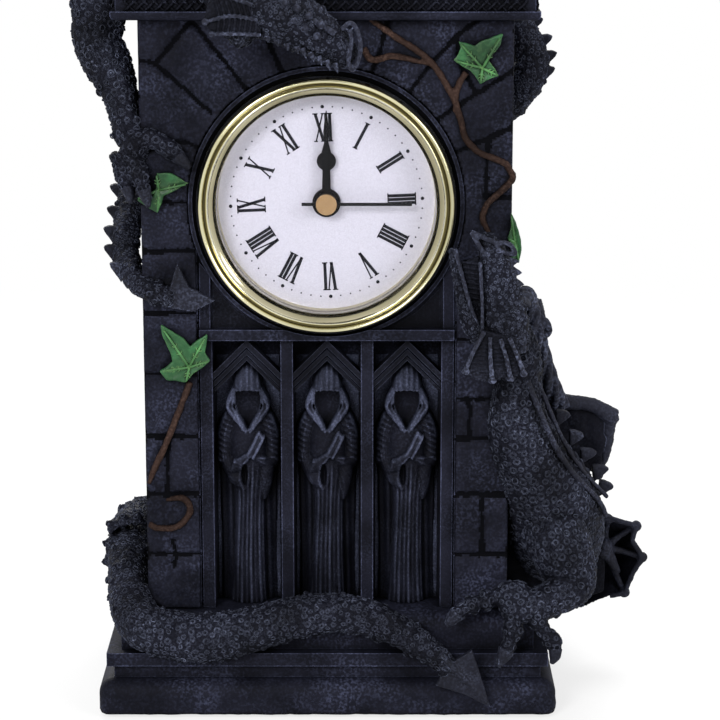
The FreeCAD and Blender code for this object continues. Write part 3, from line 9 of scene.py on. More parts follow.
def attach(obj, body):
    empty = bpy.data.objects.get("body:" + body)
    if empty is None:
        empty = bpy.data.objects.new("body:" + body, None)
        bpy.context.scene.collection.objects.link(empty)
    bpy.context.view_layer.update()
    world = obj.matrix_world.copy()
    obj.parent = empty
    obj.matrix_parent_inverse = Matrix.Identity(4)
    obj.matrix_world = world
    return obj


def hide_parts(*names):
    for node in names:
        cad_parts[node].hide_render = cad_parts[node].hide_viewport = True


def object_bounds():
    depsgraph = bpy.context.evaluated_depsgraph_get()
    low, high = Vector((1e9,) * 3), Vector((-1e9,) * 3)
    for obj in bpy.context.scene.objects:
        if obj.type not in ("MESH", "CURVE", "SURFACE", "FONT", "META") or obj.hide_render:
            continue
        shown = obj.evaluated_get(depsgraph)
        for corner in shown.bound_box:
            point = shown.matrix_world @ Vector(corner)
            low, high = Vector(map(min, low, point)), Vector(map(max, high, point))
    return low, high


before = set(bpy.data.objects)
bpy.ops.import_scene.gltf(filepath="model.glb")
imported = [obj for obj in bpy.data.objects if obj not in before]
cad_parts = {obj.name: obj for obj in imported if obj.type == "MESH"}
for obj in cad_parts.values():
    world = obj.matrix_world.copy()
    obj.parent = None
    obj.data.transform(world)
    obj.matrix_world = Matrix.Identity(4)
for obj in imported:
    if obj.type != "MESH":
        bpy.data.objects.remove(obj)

CAD_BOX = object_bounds()
MM = 0.001
TURN = 2 * math.pi

# The tower's sizes, in millimetres, as the frame has them
TOWER_HALF_W, TOWER_HALF_D, EAVE_Z = 46.5, 31.0, 178.4
PLINTH_HALF_W, PLINTH_HALF_D, SLAB_TOP_Z = 56.7, 39.5, 17.0
TOWER_FOOT_Z = 26.4
FRIEZE_FOOT_Z, FRIEZE_TOP_Z, SPIRE_FOOT_Z, SPIRE_TOP_Z = 180.6, 188.0, 190.0, 250.0
FIELD_Y, NICHE_BACK_Y = -29.8, -22.0
CLOCK_Z = 132.2
SURROUND_R = 34.5
TOWER_SIZES = (TOWER_HALF_W, TOWER_HALF_D, EAVE_Z)
PLINTH_SIZES = (PLINTH_HALF_W, PLINTH_HALF_D, SLAB_TOP_Z)
GIRTH = 10.0

# The photograph's view: where the eye is, and the scale of its picture
EYE = (0.0, -653.34, 236.03)
EYE_SIDE = 8.4
LOOK_AT = (0.0, -20.0, 89.8)
EYE_DOWN = math.radians(13.0)
LENS_MM = 126.1
FOCAL_PX, MIDDLE_COLUMN, MIDDLE_ROW = 2522.0, 327.5, 360.0


def on_plane(column, row, y):
    """The (x, z) where the photograph's pixel meets the upright plane at depth y, in millimetres."""
    across, up = column - MIDDLE_COLUMN, MIDDLE_ROW - row
    ahead = FOCAL_PX * math.cos(EYE_DOWN) + up * math.sin(EYE_DOWN)
    rise = -FOCAL_PX * math.sin(EYE_DOWN) + up * math.cos(EYE_DOWN)
    reach = (y - EYE[1]) / ahead
    return across * reach, EYE[2] + rise * reach


def at_pixel(column, row, y):
    x, z = on_plane(column, row, y)
    return x, y, z


# Node helpers

def add(tree, kind, sockets=None, **settings):
    """A node with its settings, and values or links for its sockets."""
    made = tree.nodes.new(kind)
    for key, value in settings.items():
        setattr(made, key, value)
    for key, value in (sockets or {}).items():
        if isinstance(value, bpy.types.NodeSocket):
            tree.links.new(value, made.inputs[key])
        else:
            made.inputs[key].default_value = value
    return made


def maths(tree, operation, *values):
    return add(tree, "ShaderNodeMath", dict(enumerate(values)), operation=operation).outputs[0]


def ease(tree, value, low, high):
    """0 up to low, 1 from high, and a soft step between them."""
    return add(tree, "ShaderNodeMapRange", {"Value": value, "From Min": low, "From Max": high},
               interpolation_type="SMOOTHSTEP").outputs[0]


def mix_colours(tree, share, first, second, kind="MIX"):
    return add(tree, "ShaderNodeMix", {0: share, 6: first, 7: second}, data_type="RGBA",
               blend_type=kind).outputs[2]


def speckle(tree, place, scale, detail=3.0):
    return add(tree, "ShaderNodeTexNoise", {"Vector": place, "Scale": scale, "Detail": detail}).outputs[0]


def object_place(tree):
    return add(tree, "ShaderNodeTexCoord").outputs["Object"]


def clock_radius(tree, place):
    """How far a place is from the clock's axis."""
    x, _, z = add(tree, "ShaderNodeSeparateXYZ", {0: place}).outputs
    up = maths(tree, "SUBTRACT", z, CLOCK_Z * MM)
    return maths(tree, "SQRT", maths(tree, "ADD", maths(tree, "MULTIPLY", x, x),
                                     maths(tree, "MULTIPLY", up, up)))


GEOMETRY, MATERIAL = "NodeSocketGeometry", "NodeSocketMaterial"
COLOUR, NUMBER = "NodeSocketColor", "NodeSocketFloat"
SOCKETS = {float: NUMBER, int: "NodeSocketInt", tuple: COLOUR}


def new_group(name, kind, takes, gives):
    """A node group, what it is given and where it puts out. It takes sockets by kind or first value."""
    tree = bpy.data.node_groups.new(name, kind)
    for label, value in takes.items():
        made = tree.interface.new_socket(label, in_out="INPUT", socket_type=SOCKETS.get(type(value), value))
        if type(value) in SOCKETS:
            made.default_value = value
    for label, socket in gives.items():
        tree.interface.new_socket(label, in_out="OUTPUT", socket_type=socket)
    given, put = tree.nodes.new("NodeGroupInput"), tree.nodes.new("NodeGroupOutput")
    return tree, given.outputs, put


def put_out(tree, put, **values):
    for label, value in values.items():
        tree.links.new(value, put.inputs[label])


# Shared effects

def brush_and_painted_shade_group():
    """Dark paint with pale dry brushing on raised edges and in dusty patches, and painted shade that darkens
    the hollows.
    """
    tree, given, put = new_group("brush_and_painted_shade", "ShaderNodeTree", {
        "Paint": (0.016, 0.017, 0.026, 1.0), "Brush": (0.10, 0.11, 0.165, 1.0), "Edge Width": 0.0007,
        "Edge Share": 0.8, "Dust Share": 0.35, "Grain": 1500.0, "Crest": 0.0},
        {"Color": COLOUR, "Roughness": NUMBER, "Height": NUMBER})
    place = object_place(tree)
    rounded = add(tree, "ShaderNodeBevel", {"Radius": given["Edge Width"]}, samples=5).outputs[0]
    flat = add(tree, "ShaderNodeNewGeometry").outputs["Normal"]
    along = add(tree, "ShaderNodeVectorMath", {0: rounded, 1: flat}, operation="DOT_PRODUCT").outputs["Value"]
    edge = ease(tree, maths(tree, "SUBTRACT", 1.0, along), 0.004, 0.16)
    open_air = add(tree, "ShaderNodeAmbientOcclusion", {"Distance": 0.0035}, samples=5).outputs["AO"]
    raised = maths(tree, "MULTIPLY", edge, ease(tree, open_air, 0.35, 0.95))
    grain = speckle(tree, place, given["Grain"], 5.0)
    patches = ease(tree, speckle(tree, place, 90.0, 8.0), 0.42, 0.70)
    scratch = ease(tree, grain, 0.42, 0.68)
    on_edges = maths(tree, "MULTIPLY", maths(tree, "MULTIPLY", raised, given["Edge Share"]),
                     maths(tree, "MULTIPLY_ADD", scratch, 0.55, 0.45))
    in_patches = maths(tree, "MULTIPLY", maths(tree, "MULTIPLY_ADD", patches, 0.75, 0.25),
                       maths(tree, "MULTIPLY", given["Dust Share"], scratch))
    share = maths(tree, "MULTIPLY", maths(tree, "ADD", on_edges, in_patches), ease(tree, open_air, 0.2, 0.8))
    on_crests = maths(tree, "MULTIPLY", given["Crest"], maths(tree, "MULTIPLY_ADD", scratch, 0.5, 0.5))
    share = maths(tree, "ADD", share, on_crests)
    colour = mix_colours(tree, maths(tree, "MINIMUM", share, 1.0), given["Paint"], given["Brush"])
    mottle = maths(tree, "MULTIPLY_ADD", ease(tree, speckle(tree, place, 75.0, 5.0), 0.32, 0.68), 0.8, 0.58)
    # Painted shade: the colour is darkened where ambient occlusion finds the surface closed in, in hollows
    # and crevices.
    hollow = maths(tree, "MULTIPLY_ADD", ease(tree, open_air, 0.15, 0.95), 0.88, 0.12)
    shaded = add(tree, "ShaderNodeVectorMath", {0: colour, "Scale": maths(tree, "MULTIPLY", mottle, hollow)},
                 operation="SCALE").outputs[0]
    rough = maths(tree, "MULTIPLY_ADD", grain, 0.25, 0.52)
    put_out(tree, put, Color=shaded, Roughness=rough, Height=grain)
    return tree


def fine_hide_group():
    """Small pebbled scales between the cast ones, as a height."""
    tree, given, put = new_group("fine_hide", "ShaderNodeTree", {"Pebbles": 1400.0}, {"Height": NUMBER})
    place = object_place(tree)
    cells = add(tree, "ShaderNodeTexVoronoi", {"Vector": place,
                                               "Scale": given["Pebbles"]}).outputs["Distance"]
    put_out(tree, put, Height=maths(tree, "SUBTRACT", 1.0, maths(tree, "MULTIPLY", cells, cells)))
    return tree


BRUSH_AND_PAINTED_SHADE, FINE_HIDE = brush_and_painted_shade_group(), fine_hide_group()


def follow_crests(material):
    """Lets the brushing follow a relief's own crest attribute."""
    tree = material.node_tree
    crest = add(tree, "ShaderNodeAttribute", attribute_name="crest").outputs["Fac"]
    brushed_with_painted_shade = next(node for node in tree.nodes if node.type == "GROUP" and node.node_tree == BRUSH_AND_PAINTED_SHADE)
    tree.links.new(crest, brushed_with_painted_shade.inputs["Crest"])


def finish(name, roughness=0.5, metallic=0.0, shine=0.5, coat=0.0):
    """A new material: returns it, its tree and its shader."""
    material = bpy.data.materials.new(name)
    material.use_nodes = True
    shader = material.node_tree.nodes["Principled BSDF"]
    for label, value in (("Roughness", roughness), ("Metallic", metallic), ("Specular IOR Level", shine),
                         ("Coat Weight", coat)):
        shader.inputs[label].default_value = value
    return material, material.node_tree, shader


def bump(tree, shader, height, distance, strength=1.0):
    made = add(tree, "ShaderNodeBump", {"Height": height, "Distance": distance, "Strength": strength})
    tree.links.new(made.outputs[0], shader.inputs["Normal"])


def brushed_resin(name, paint, brush, edge_width, edge_share, dust_share, grain, depth, pebbles=0.0,
                  shine=0.05):
    """Painted cast resin, with fine pebbles on a dragon's hide."""
    material, tree, shader = finish(name, shine=shine)
    brushed_with_painted_shade = add(tree, "ShaderNodeGroup", node_tree=BRUSH_AND_PAINTED_SHADE)
    for label, value in (("Paint", (*paint, 1.0)), ("Brush", (*brush, 1.0)), ("Edge Width", edge_width * MM),
                         ("Edge Share", edge_share), ("Dust Share", dust_share), ("Grain", grain)):
        brushed_with_painted_shade.inputs[label].default_value = value
    tree.links.new(brushed_with_painted_shade.outputs["Color"], shader.inputs["Base Color"])
    tree.links.new(brushed_with_painted_shade.outputs["Roughness"], shader.inputs["Roughness"])
    height = brushed_with_painted_shade.outputs["Height"]
    if pebbles:
        hide = add(tree, "ShaderNodeGroup", {"Pebbles": pebbles}, node_tree=FINE_HIDE)
        height = maths(tree, "MULTIPLY_ADD", hide.outputs["Height"], 2.0, height)
    bump(tree, shader, height, depth * MM)
    return material


def leaf_paint(name, paint, brush):
    """Brush-painted green, paler on rims and on veins where the paint is rubbed, with yellower strokes here
    and there, and painted shade in its hollows.
    """
    material, tree, shader = finish(name, shine=0.25)
    place = object_place(tree)
    strokes = ease(tree, speckle(tree, place, 260.0, 3.0), 0.45, 0.75)
    mixed = mix_colours(tree, strokes, (*paint, 1.0), tuple(2.1 * part for part in paint) + (1.0,))
    brushed_with_painted_shade = add(tree, "ShaderNodeGroup", {
        "Brush": (*brush, 1.0), "Edge Width": 0.35 * MM, "Edge Share": 1.0, "Dust Share": 0.16,
        "Grain": 1500.0},
        node_tree=BRUSH_AND_PAINTED_SHADE)
    tree.links.new(mixed, brushed_with_painted_shade.inputs["Paint"])
    tree.links.new(brushed_with_painted_shade.outputs["Color"], shader.inputs["Base Color"])
    tree.links.new(maths(tree, "MULTIPLY", brushed_with_painted_shade.outputs["Roughness"], 0.7), shader.inputs["Roughness"])
    bump(tree, shader, brushed_with_painted_shade.outputs["Height"], 0.06 * MM)
    return material


def turned_metal(name, colour, roughness, ring_scale, coat=0.0):
    """Polished metal with the faint rings that turning leaves about the clock's axis."""
    material, tree, shader = finish(name, roughness, metallic=1.0, coat=coat)
    place = object_place(tree)
    centred = add(tree, "ShaderNodeMapping", {"Vector": place,
                                              "Location": (0.0, 0.0, -CLOCK_Z * MM)}).outputs[0]
    rings = add(tree, "ShaderNodeTexWave", {"Vector": centred, "Scale": ring_scale, "Distortion": 0.6},
                wave_type="RINGS", rings_direction="Y").outputs[1]
    tint = mix_colours(tree, maths(tree, "MULTIPLY", rings, 0.12), (*colour, 1.0), (0.30, 0.26, 0.14, 1.0))
    tree.links.new(tint, shader.inputs["Base Color"])
    tree.links.new(maths(tree, "MULTIPLY_ADD", rings, 0.06, roughness), shader.inputs["Roughness"])
    return material


RIM_INNER_R, RIM_OUTER_R = 27.0, 33.0


def gold_with_painted_reflections():
    """Pale gold with painted reflections about the turned rim: pale bands are painted highlights on its
    polished beads, near-black bands are painted shade and dark reflections in its creases, and middling bands
    its satin slope.
    """
    material, tree, shader = finish("pale_gold", 0.16, metallic=1.0, coat=0.2)
    place = object_place(tree)
    across = add(tree, "ShaderNodeMapRange", {
        "Value": clock_radius(tree, place), "From Min": RIM_INNER_R * MM,
        "From Max": RIM_OUTER_R * MM}).outputs[0]
    ramp = add(tree, "ShaderNodeValToRGB", {0: across})
    # Painted reflections and shade: the pale stops stand in for highlights, the near-black ones for shade and
    # dark reflections, at their radii.
    painted_reflection_bands = ((0.00, (0.10, 0.09, 0.05)), (0.10, (0.30, 0.27, 0.17)), (0.36, (0.50, 0.46, 0.31)),
             (0.43, (0.90, 0.87, 0.66)), (0.50, (0.56, 0.51, 0.30)), (0.545, (0.07, 0.06, 0.03)),
             (0.60, (0.50, 0.45, 0.24)), (0.72, (0.80, 0.76, 0.50)), (0.82, (0.60, 0.55, 0.32)),
             (0.90, (0.97, 0.94, 0.74)), (0.95, (0.55, 0.50, 0.28)), (1.00, (0.03, 0.026, 0.012)))
    stops = ramp.color_ramp.elements
    stops[0].position, stops[0].color = painted_reflection_bands[0][0], (*painted_reflection_bands[0][1], 1.0)
    stops[1].position, stops[1].color = painted_reflection_bands[-1][0], (*painted_reflection_bands[-1][1], 1.0)
    for spot, colour in painted_reflection_bands[1:-1]:
        stops.new(spot).color = (*colour, 1.0)
    clouds = ease(tree, speckle(tree, place, 38.0, 1.0), 0.38, 0.62)
    dull = mix_colours(tree, maths(tree, "MULTIPLY", clouds, 0.42), ramp.outputs[0], (0.16, 0.14, 0.07, 1.0))
    tree.links.new(dull, shader.inputs["Base Color"])
    tree.links.new(maths(tree, "MULTIPLY_ADD", clouds, 0.10, 0.10), shader.inputs["Roughness"])
    return material


def moulded(name, colour, roughness=0.45, grain=2500.0, shine=0.5):
    """Moulded plastic, felt or enamel: one colour with a fine skin."""
    material, tree, shader = finish(name, roughness, shine=shine)
    place = object_place(tree)
    skin = speckle(tree, place, grain, 2.0)
    darker = tuple(0.72 * part for part in colour)
    tree.links.new(mix_colours(tree, skin, (*colour, 1.0), (*darker, 1.0)), shader.inputs["Base Color"])
    bump(tree, shader, skin, 0.02 * MM)
    return material


def metal(name, colour, roughness):
    material, tree, shader = finish(name, roughness, metallic=1.0)
    place = object_place(tree)
    stretched = add(tree, "ShaderNodeMapping", {"Vector": place, "Scale": (1.0, 1.0, 14.0)}).outputs[0]
    brushed = speckle(tree, stretched, 900.0, 2.0)
    darker = tuple(0.6 * part for part in colour)
    tree.links.new(mix_colours(tree, brushed, (*colour, 1.0), (*darker, 1.0)), shader.inputs["Base Color"])
    tree.links.new(maths(tree, "MULTIPLY_ADD", brushed, 0.2, roughness), shader.inputs["Roughness"])
    return material


CAP_R = 2.62


def second_hand_paint():
    """Black enamel, with a brass cap over the hub."""
    material, tree, shader = finish("second_hand_paint", 0.35, shine=0.1)
    place = object_place(tree)
    cap = maths(tree, "LESS_THAN", clock_radius(tree, place), CAP_R * MM)
    turned = speckle(tree, place, 700.0, 2.0)
    brass = mix_colours(tree, turned, (0.56, 0.37, 0.20, 1.0), (0.40, 0.25, 0.13, 1.0))
    tree.links.new(mix_colours(tree, cap, (0.012, 0.012, 0.014, 1.0), brass), shader.inputs["Base Color"])
    tree.links.new(maths(tree, "MULTIPLY", cap, 0.85), shader.inputs["Metallic"])
    return material


def clear_glass():
    """Flat clear glass that lets the lamps through to the dial."""
    material, tree, shader = finish("clear_glass", 0.0)
    shader.inputs["Transmission Weight"].default_value = 1.0
    shader.inputs["IOR"].default_value = 1.15
    light = add(tree, "ShaderNodeLightPath")
    through = maths(tree, "MAXIMUM", light.outputs["Is Shadow Ray"], light.outputs["Is Diffuse Ray"])
    clear = add(tree, "ShaderNodeBsdfTransparent")
    both = add(tree, "ShaderNodeMixShader", {0: through, 1: shader.outputs[0], 2: clear.outputs[0]})
    tree.links.new(both.outputs[0], tree.nodes["Material Output"].inputs["Surface"])
    return material


SLATE, SLATE_BRUSH = (0.0066, 0.0070, 0.0122), (0.085, 0.096, 0.168)
STONE = brushed_resin("stone_paint", SLATE, SLATE_BRUSH, 0.45, 0.85, 0.27, 1500.0, 0.10)
MOULDING = brushed_resin("moulding_paint", SLATE, SLATE_BRUSH, 0.50, 1.0, 0.14, 1900.0, 0.07)
CARVING = brushed_resin("carving_paint", (0.0036, 0.0038, 0.0066), (0.080, 0.090, 0.145), 0.25, 0.85, 0.16,
                        1900.0, 0.05)
ROBE = brushed_resin("robe_paint", (0.0050, 0.0053, 0.0094), (0.115, 0.130, 0.210), 0.30, 1.0, 0.12, 1900.0,
                     0.04)
HIDE = brushed_resin("hide_paint", (0.0042, 0.0045, 0.0078), (0.075, 0.084, 0.130), 0.30, 1.0, 0.25, 1900.0,
                     0.14, pebbles=1300.0)
RINGS = brushed_resin("ring_scale_paint", (0.0120, 0.0135, 0.0215), (0.140, 0.160, 0.235), 0.20, 1.0, 0.55,
                      900.0, 0.03, shine=0.10)
HORN = brushed_resin("horn_paint", (0.0075, 0.0080, 0.0135), (0.135, 0.155, 0.240), 0.45, 1.0, 0.20, 1700.0,
                     0.10, shine=0.10)
SINEW = brushed_resin("sinew_paint", (0.0100, 0.0108, 0.0180), (0.175, 0.200, 0.310), 0.50, 1.0, 0.45,
                      1300.0, 0.16, shine=0.10)
# Shade paint: near-black, for painted shade on the wing webs, the cup's skin, the spandrel panels and the
# plate under the haunch.
SHADE = brushed_resin("shade_paint", (0.0034, 0.0036, 0.0062), (0.030, 0.034, 0.054), 0.5, 0.6, 0.3, 1700.0,
                      0.08)
MEMBRANE = brushed_resin("membrane_paint", (0.0045, 0.0048, 0.0080), (0.085, 0.096, 0.150), 0.25, 1.0, 0.22,
                         1900.0, 0.05)
VINE = brushed_resin("vine_paint", (0.022, 0.0125, 0.0100), (0.145, 0.088, 0.070), 0.35, 1.0, 0.35, 1500.0,
                     0.12)
follow_crests(ROBE)
CREVICE = moulded("crevice_paint", (0.0016, 0.0017, 0.0028), 0.9, 1500.0, 0.05)
LEAF = leaf_paint("leaf_paint", (0.011, 0.052, 0.017), (0.15, 0.27, 0.10))
VEIN = leaf_paint("vein_paint", (0.030, 0.095, 0.030), (0.14, 0.27, 0.09))
GOLD = gold_with_painted_reflections()
REFLECTOR = turned_metal("plated_reflector", (0.62, 0.58, 0.42), 0.30, 420.0)
DIAL_WHITE = moulded("dial_enamel", (0.68, 0.665, 0.78), 0.6, 3000.0, 0.2)
INK = moulded("dial_ink", (0.012, 0.012, 0.018), 0.6, shine=0.1)
HAND_BLACK = moulded("hand_enamel", (0.006, 0.006, 0.008), 0.4, shine=0.1)
SECOND = second_hand_paint()
GLASS = clear_glass()
BLACK_PLASTIC = moulded("black_plastic", (0.018, 0.018, 0.020), 0.5)
RUBBER = moulded("black_rubber", (0.012, 0.012, 0.012), 0.8, 1200.0, 0.2)
FELT = moulded("black_felt", (0.020, 0.020, 0.024), 0.95, 700.0, 0.1)
NYLON = moulded("white_nylon", (0.75, 0.74, 0.68), 0.4)
STEEL = metal("bright_steel", (0.62, 0.62, 0.65), 0.25)
COPPER = metal("coil_wire", (0.60, 0.27, 0.12), 0.3)
BOARD = moulded("green_board", (0.03, 0.16, 0.06), 0.3, 900.0)


def dress(material, *nodes):
    """Gives CAD nodes a material."""
    for name in nodes:
        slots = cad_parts[name].data.materials
        slots.clear()
        slots.append(material)


dress(FELT, "base_pad")
dress(STONE, "plinth", "tower_shell")
dress(MOULDING, "window_bars", "eave_moulding", "eave_frieze", "lucarne", "finial", "spire")
dress(GOLD, "bezel")
dress(GLASS, "lens")
dress(REFLECTOR, "reflector_ring")
dress(DIAL_WHITE, "dial")
dress(HAND_BLACK, "hour_hand", "minute_hand", "centre_nut")
dress(SECOND, "second_hand")
dress(BLACK_PLASTIC, "insert_cup", "movement_front_plate", "movement_case", "battery_cover", "setting_knob")
dress(RUBBER, "gasket")
dress(NYLON, "hour_wheel", "cannon_pinion", "centre_wheel", "third_wheel", "second_wheel", "middle_wheel",
      "rotor", "setting_arbor", "movement_bridge")
dress(STEEL, "button_cell", "cell_contacts", "stator", "quartz_crystal", "case_screws")
dress(COPPER, "coil")
dress(BOARD, "circuit_board")


# Mesh helpers. A form is a pair of lists, its points in millimetres and its faces.

def joined(forms):
    points, faces = [], []
    for some_points, some_faces in forms:
        start = len(points)
        points += [tuple(point) for point in some_points]
        faces += [tuple(start + corner for corner in face) for face in some_faces]
    return points, faces


def smooth_line(rows, per_span):
    """Rows of numbers run through by a smooth curve."""
    rows = np.array(rows, float)
    ends = np.vstack([2 * rows[0] - rows[1], rows, 2 * rows[-1] - rows[-2]])
    line = []
    for span in range(len(rows) - 1):
        before, start, end, after = ends[span:span + 4]
        for step in range(per_span):
            t = step / per_span
            bend = 2 * before - 5 * start + 4 * end - after
            twist = 3 * start - before - 3 * end + after
            line.append(0.5 * (2 * start + (end - before) * t + bend * t ** 2 + twist * t ** 3))
    return np.array(line + [rows[-1]])


def frames(rows, per_span):
    """A smooth line's points and radii, with two directions across it that don't twist."""
    line = smooth_line(rows, per_span)
    middles, radii = line[:, :3], np.maximum(line[:, 3], 0.05)
    ways = np.gradient(middles, axis=0)
    ways /= np.linalg.norm(ways, axis=1)[:, None]
    side = np.cross(ways[0], (0.0, 1.0, 0.0) if abs(ways[0][1]) < 0.9 else (1.0, 0.0, 0.0))
    sides, others = [], []
    for way in ways:
        side = side - way * side.dot(way)
        side = side / np.linalg.norm(side)
        sides.append(side)
        others.append(np.cross(way, side))
    return middles, radii, np.array(sides), np.array(others)


def between_rings(rings, count, closed=False):
    """The faces between one ring of points and the next, and from the last to the first of a closed form."""
    faces = []
    for ring in range(rings if closed else rings - 1):
        low, high = ring * count, (ring + 1) % rings * count
        for corner in range(count):
            after = (corner + 1) % count
            faces.append((low + corner, low + after, high + after, high + corner))
    return faces


def tube(rows, sides=20, per_span=6):
    """A closed round form along rows of x, y, z and radius."""
    middles, radii, side, other = frames(rows, per_span)
    points = []
    for middle, radius, one, two in zip(middles, radii, side, other):
        for corner in range(sides):
            angle = TURN * corner / sides
            points.append(middle + radius * (math.cos(angle) * one + math.sin(angle) * two))
    last = len(middles) - 1
    faces = between_rings(len(middles), sides)
    faces.append(tuple(range(sides))[::-1])
    faces.append(tuple(last * sides + corner for corner in range(sides)))
    return points, faces


def rope(rows, turns, strands=5):
    """Strands wound about a core along a line of x, y, z and radius."""
    middles, radii, side, other = frames(rows, 10)
    forms = [tube([(*middle, 0.62 * radius) for middle, radius in zip(middles, radii)], 12, 1)]
    for strand in range(strands):
        wound = []
        for step, (middle, radius, one, two) in enumerate(zip(middles, radii, side, other)):
            angle = TURN * (strand / strands + turns * step / len(middles))
            wound.append((*(middle + 0.66 * radius * (math.cos(angle) * one + math.sin(angle) * two)),
                          0.36 * radius))
        forms.append(tube(wound, 10, 1))
    return forms


def turned_ring(profile, segments=144, per_span=5):
    """A closed ring about the clock's axis, from its section's radius and y."""
    line = smooth_line([(*spot, 0.0) for spot in (*profile, profile[0])], per_span)[:-1]
    points = []
    for segment in range(segments):
        angle = TURN * segment / segments
        points += [(out * math.cos(angle), y, CLOCK_Z + out * math.sin(angle)) for out, y, _ in line]
    return points, between_rings(segments, len(line), closed=True)


def thick_sheet(x, z, front, inside, back):
    """A closed relief over a grid: its own front depths, cut to the cells inside, and a flat back."""
    rows, columns = x.shape
    cells = inside[:-1, :-1] & inside[1:, :-1] & inside[:-1, 1:] & inside[1:, 1:]
    used, points, faces = {}, [], []

    def corner(row, column, face):
        key = (row, column, face)
        if key not in used:
            used[key] = len(points)
            points.append((x[row, column], back if face else front[row, column], z[row, column]))
        return used[key]

    for row, column in zip(*np.nonzero(cells)):
        ring = ((row, column), (row, column + 1), (row + 1, column + 1), (row + 1, column))
        faces.append(tuple(corner(*spot, 0) for spot in ring))
        faces.append(tuple(corner(*spot, 1) for spot in ring[::-1]))
        beside = ((row - 1, column), (row, column + 1), (row + 1, column), (row, column - 1))
        for step, (next_row, next_column) in enumerate(beside):
            if 0 <= next_row < rows - 1 and 0 <= next_column < columns - 1 and cells[next_row, next_column]:
                continue
            start, end = ring[step], ring[(step + 1) % 4]
            faces.append((corner(*end, 0), corner(*start, 0), corner(*start, 1), corner(*end, 1)))
    return points, faces


def horn(foot, tip, width, sides=10):
    """A spike from its foot to its blunt tip."""
    foot, tip = np.array(foot), np.array(tip)
    return tube([(*(foot + (tip - foot) * share), width * thick) for share, thick in
                 ((-0.25, 0.5), (0.0, 0.5), (0.35, 0.36), (0.7, 0.2), (1.0, 0.05))], sides, 2)


def plate(outline, y_front, y_back):
    """A closed plate facing the front, from (x, z) corners."""
    count = len(outline)
    points = [(x, y_front, z) for x, z in outline] + [(x, y_back, z) for x, z in outline]
    faces = [tuple(range(count)), tuple(range(2 * count - 1, count - 1, -1))]
    for corner in range(count):
        after = (corner + 1) % count
        faces.append((after, corner, corner + count, after + count))
    return points, faces


def ball(middle, radii, rings=10, sides=16):
    faces = []
    points = [(middle[0], middle[1], middle[2] - radii[2])]
    for ring in range(1, rings):
        lift = math.pi * ring / rings
        for corner in range(sides):
            angle = TURN * corner / sides
            points.append((middle[0] + radii[0] * math.sin(lift) * math.cos(angle),
                           middle[1] + radii[1] * math.sin(lift) * math.sin(angle),
                           middle[2] - radii[2] * math.cos(lift)))
    points.append((middle[0], middle[1], middle[2] + radii[2]))
    top = len(points) - 1
    for corner in range(sides):
        after = (corner + 1) % sides
        faces.append((0, 1 + after, 1 + corner))
        for ring in range(rings - 2):
            low, high = 1 + ring * sides, 1 + (ring + 1) * sides
            faces.append((low + corner, low + after, high + after, high + corner))
        faces.append((top, top - sides + corner, top - sides + after))
    return points, faces


def new_object(name, form, material, smooth=True):
    points, faces = form
    mesh = bpy.data.meshes.new(name)
    mesh.from_pydata([tuple(part * MM for part in point) for point in points], [], faces)
    made = bpy.data.objects.new(name, mesh)
    bpy.context.scene.collection.objects.link(made)
    mesh.materials.append(material)
    mesh.polygons.foreach_set("use_smooth", [smooth] * len(mesh.polygons))
    face_outwards(mesh)
    return made


def face_outwards(mesh):
    work = bmesh.new()
    work.from_mesh(mesh)
    bmesh.ops.recalc_face_normals(work, faces=work.faces)
    work.to_mesh(mesh)
    work.free()


def settle(made):
    """Puts what an object's modifiers make into its own mesh."""
    seen = made.evaluated_get(bpy.context.evaluated_depsgraph_get())
    mesh = bpy.data.meshes.new_from_object(seen)
    made.modifiers.clear()
    made.data = mesh
    return made


def recast(made, voxel, rounds):
    """Fuses a piece's overlapping forms into one even skin, a little smoothed."""
    fuse = made.modifiers.new("fuse", "REMESH")
    fuse.mode, fuse.voxel_size, fuse.use_smooth_shade = "VOXEL", voxel * MM, True
    soften = made.modifiers.new("soften", "SMOOTH")
    soften.factor, soften.iterations = 0.5, rounds
    return settle(made)


def roughen(made, depth, scale, fine=0.35):
    """Moves a skin in and out by two sizes of noise, in millimetres."""
    mesh = made.data
    count = len(mesh.vertices)
    places, normals = np.empty(count * 3), np.empty(count * 3)
    mesh.vertices.foreach_get("co", places)
    mesh.vertices.foreach_get("normal", normals)
    places, normals = places.reshape(-1, 3), normals.reshape(-1, 3)
    lifts = np.array([noise.noise(Vector(place * scale)) + fine * noise.noise(Vector(place * scale * 3.7))
                      for place in places])
    places += normals * (lifts * depth * MM)[:, None]
    mesh.vertices.foreach_set("co", places.ravel())
    mesh.update()
    return made


def cast(name, forms, material, voxel, rounds, depth, scale, fine=0.35):
    """Forms fused into one cast piece with an uneven skin."""
    return roughen(recast(new_object(name, joined(forms), material), voxel, rounds), depth, scale, fine)


def merged(name, *parts):
    """One object from several, with their materials kept."""
    with bpy.context.temp_override(active_object=parts[0], selected_editable_objects=list(parts),
                                   selected_objects=list(parts)):
        bpy.ops.object.join()
    parts[0].name = parts[0].data.name = name
    return parts[0]


def keep_in_box(mesh):
    """Holds a piece within the solids' box."""
    places = np.empty(len(mesh.vertices) * 3)
    mesh.vertices.foreach_get("co", places)
    places = np.clip(places.reshape(-1, 3), CAD_BOX[0], CAD_BOX[1])
    mesh.vertices.foreach_set("co", places.ravel())
    mesh.update()


def show(made, name, body="root", stands_for=()):
    """Names a finished piece, hangs it on the body it rides on, and hides the nodes it stands for."""
    made.name = made.data.name = name
    keep_in_box(made.data)
    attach(made, body)
    if stands_for:
        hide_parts(*stands_for)
    return made


# Geometry Nodes trees

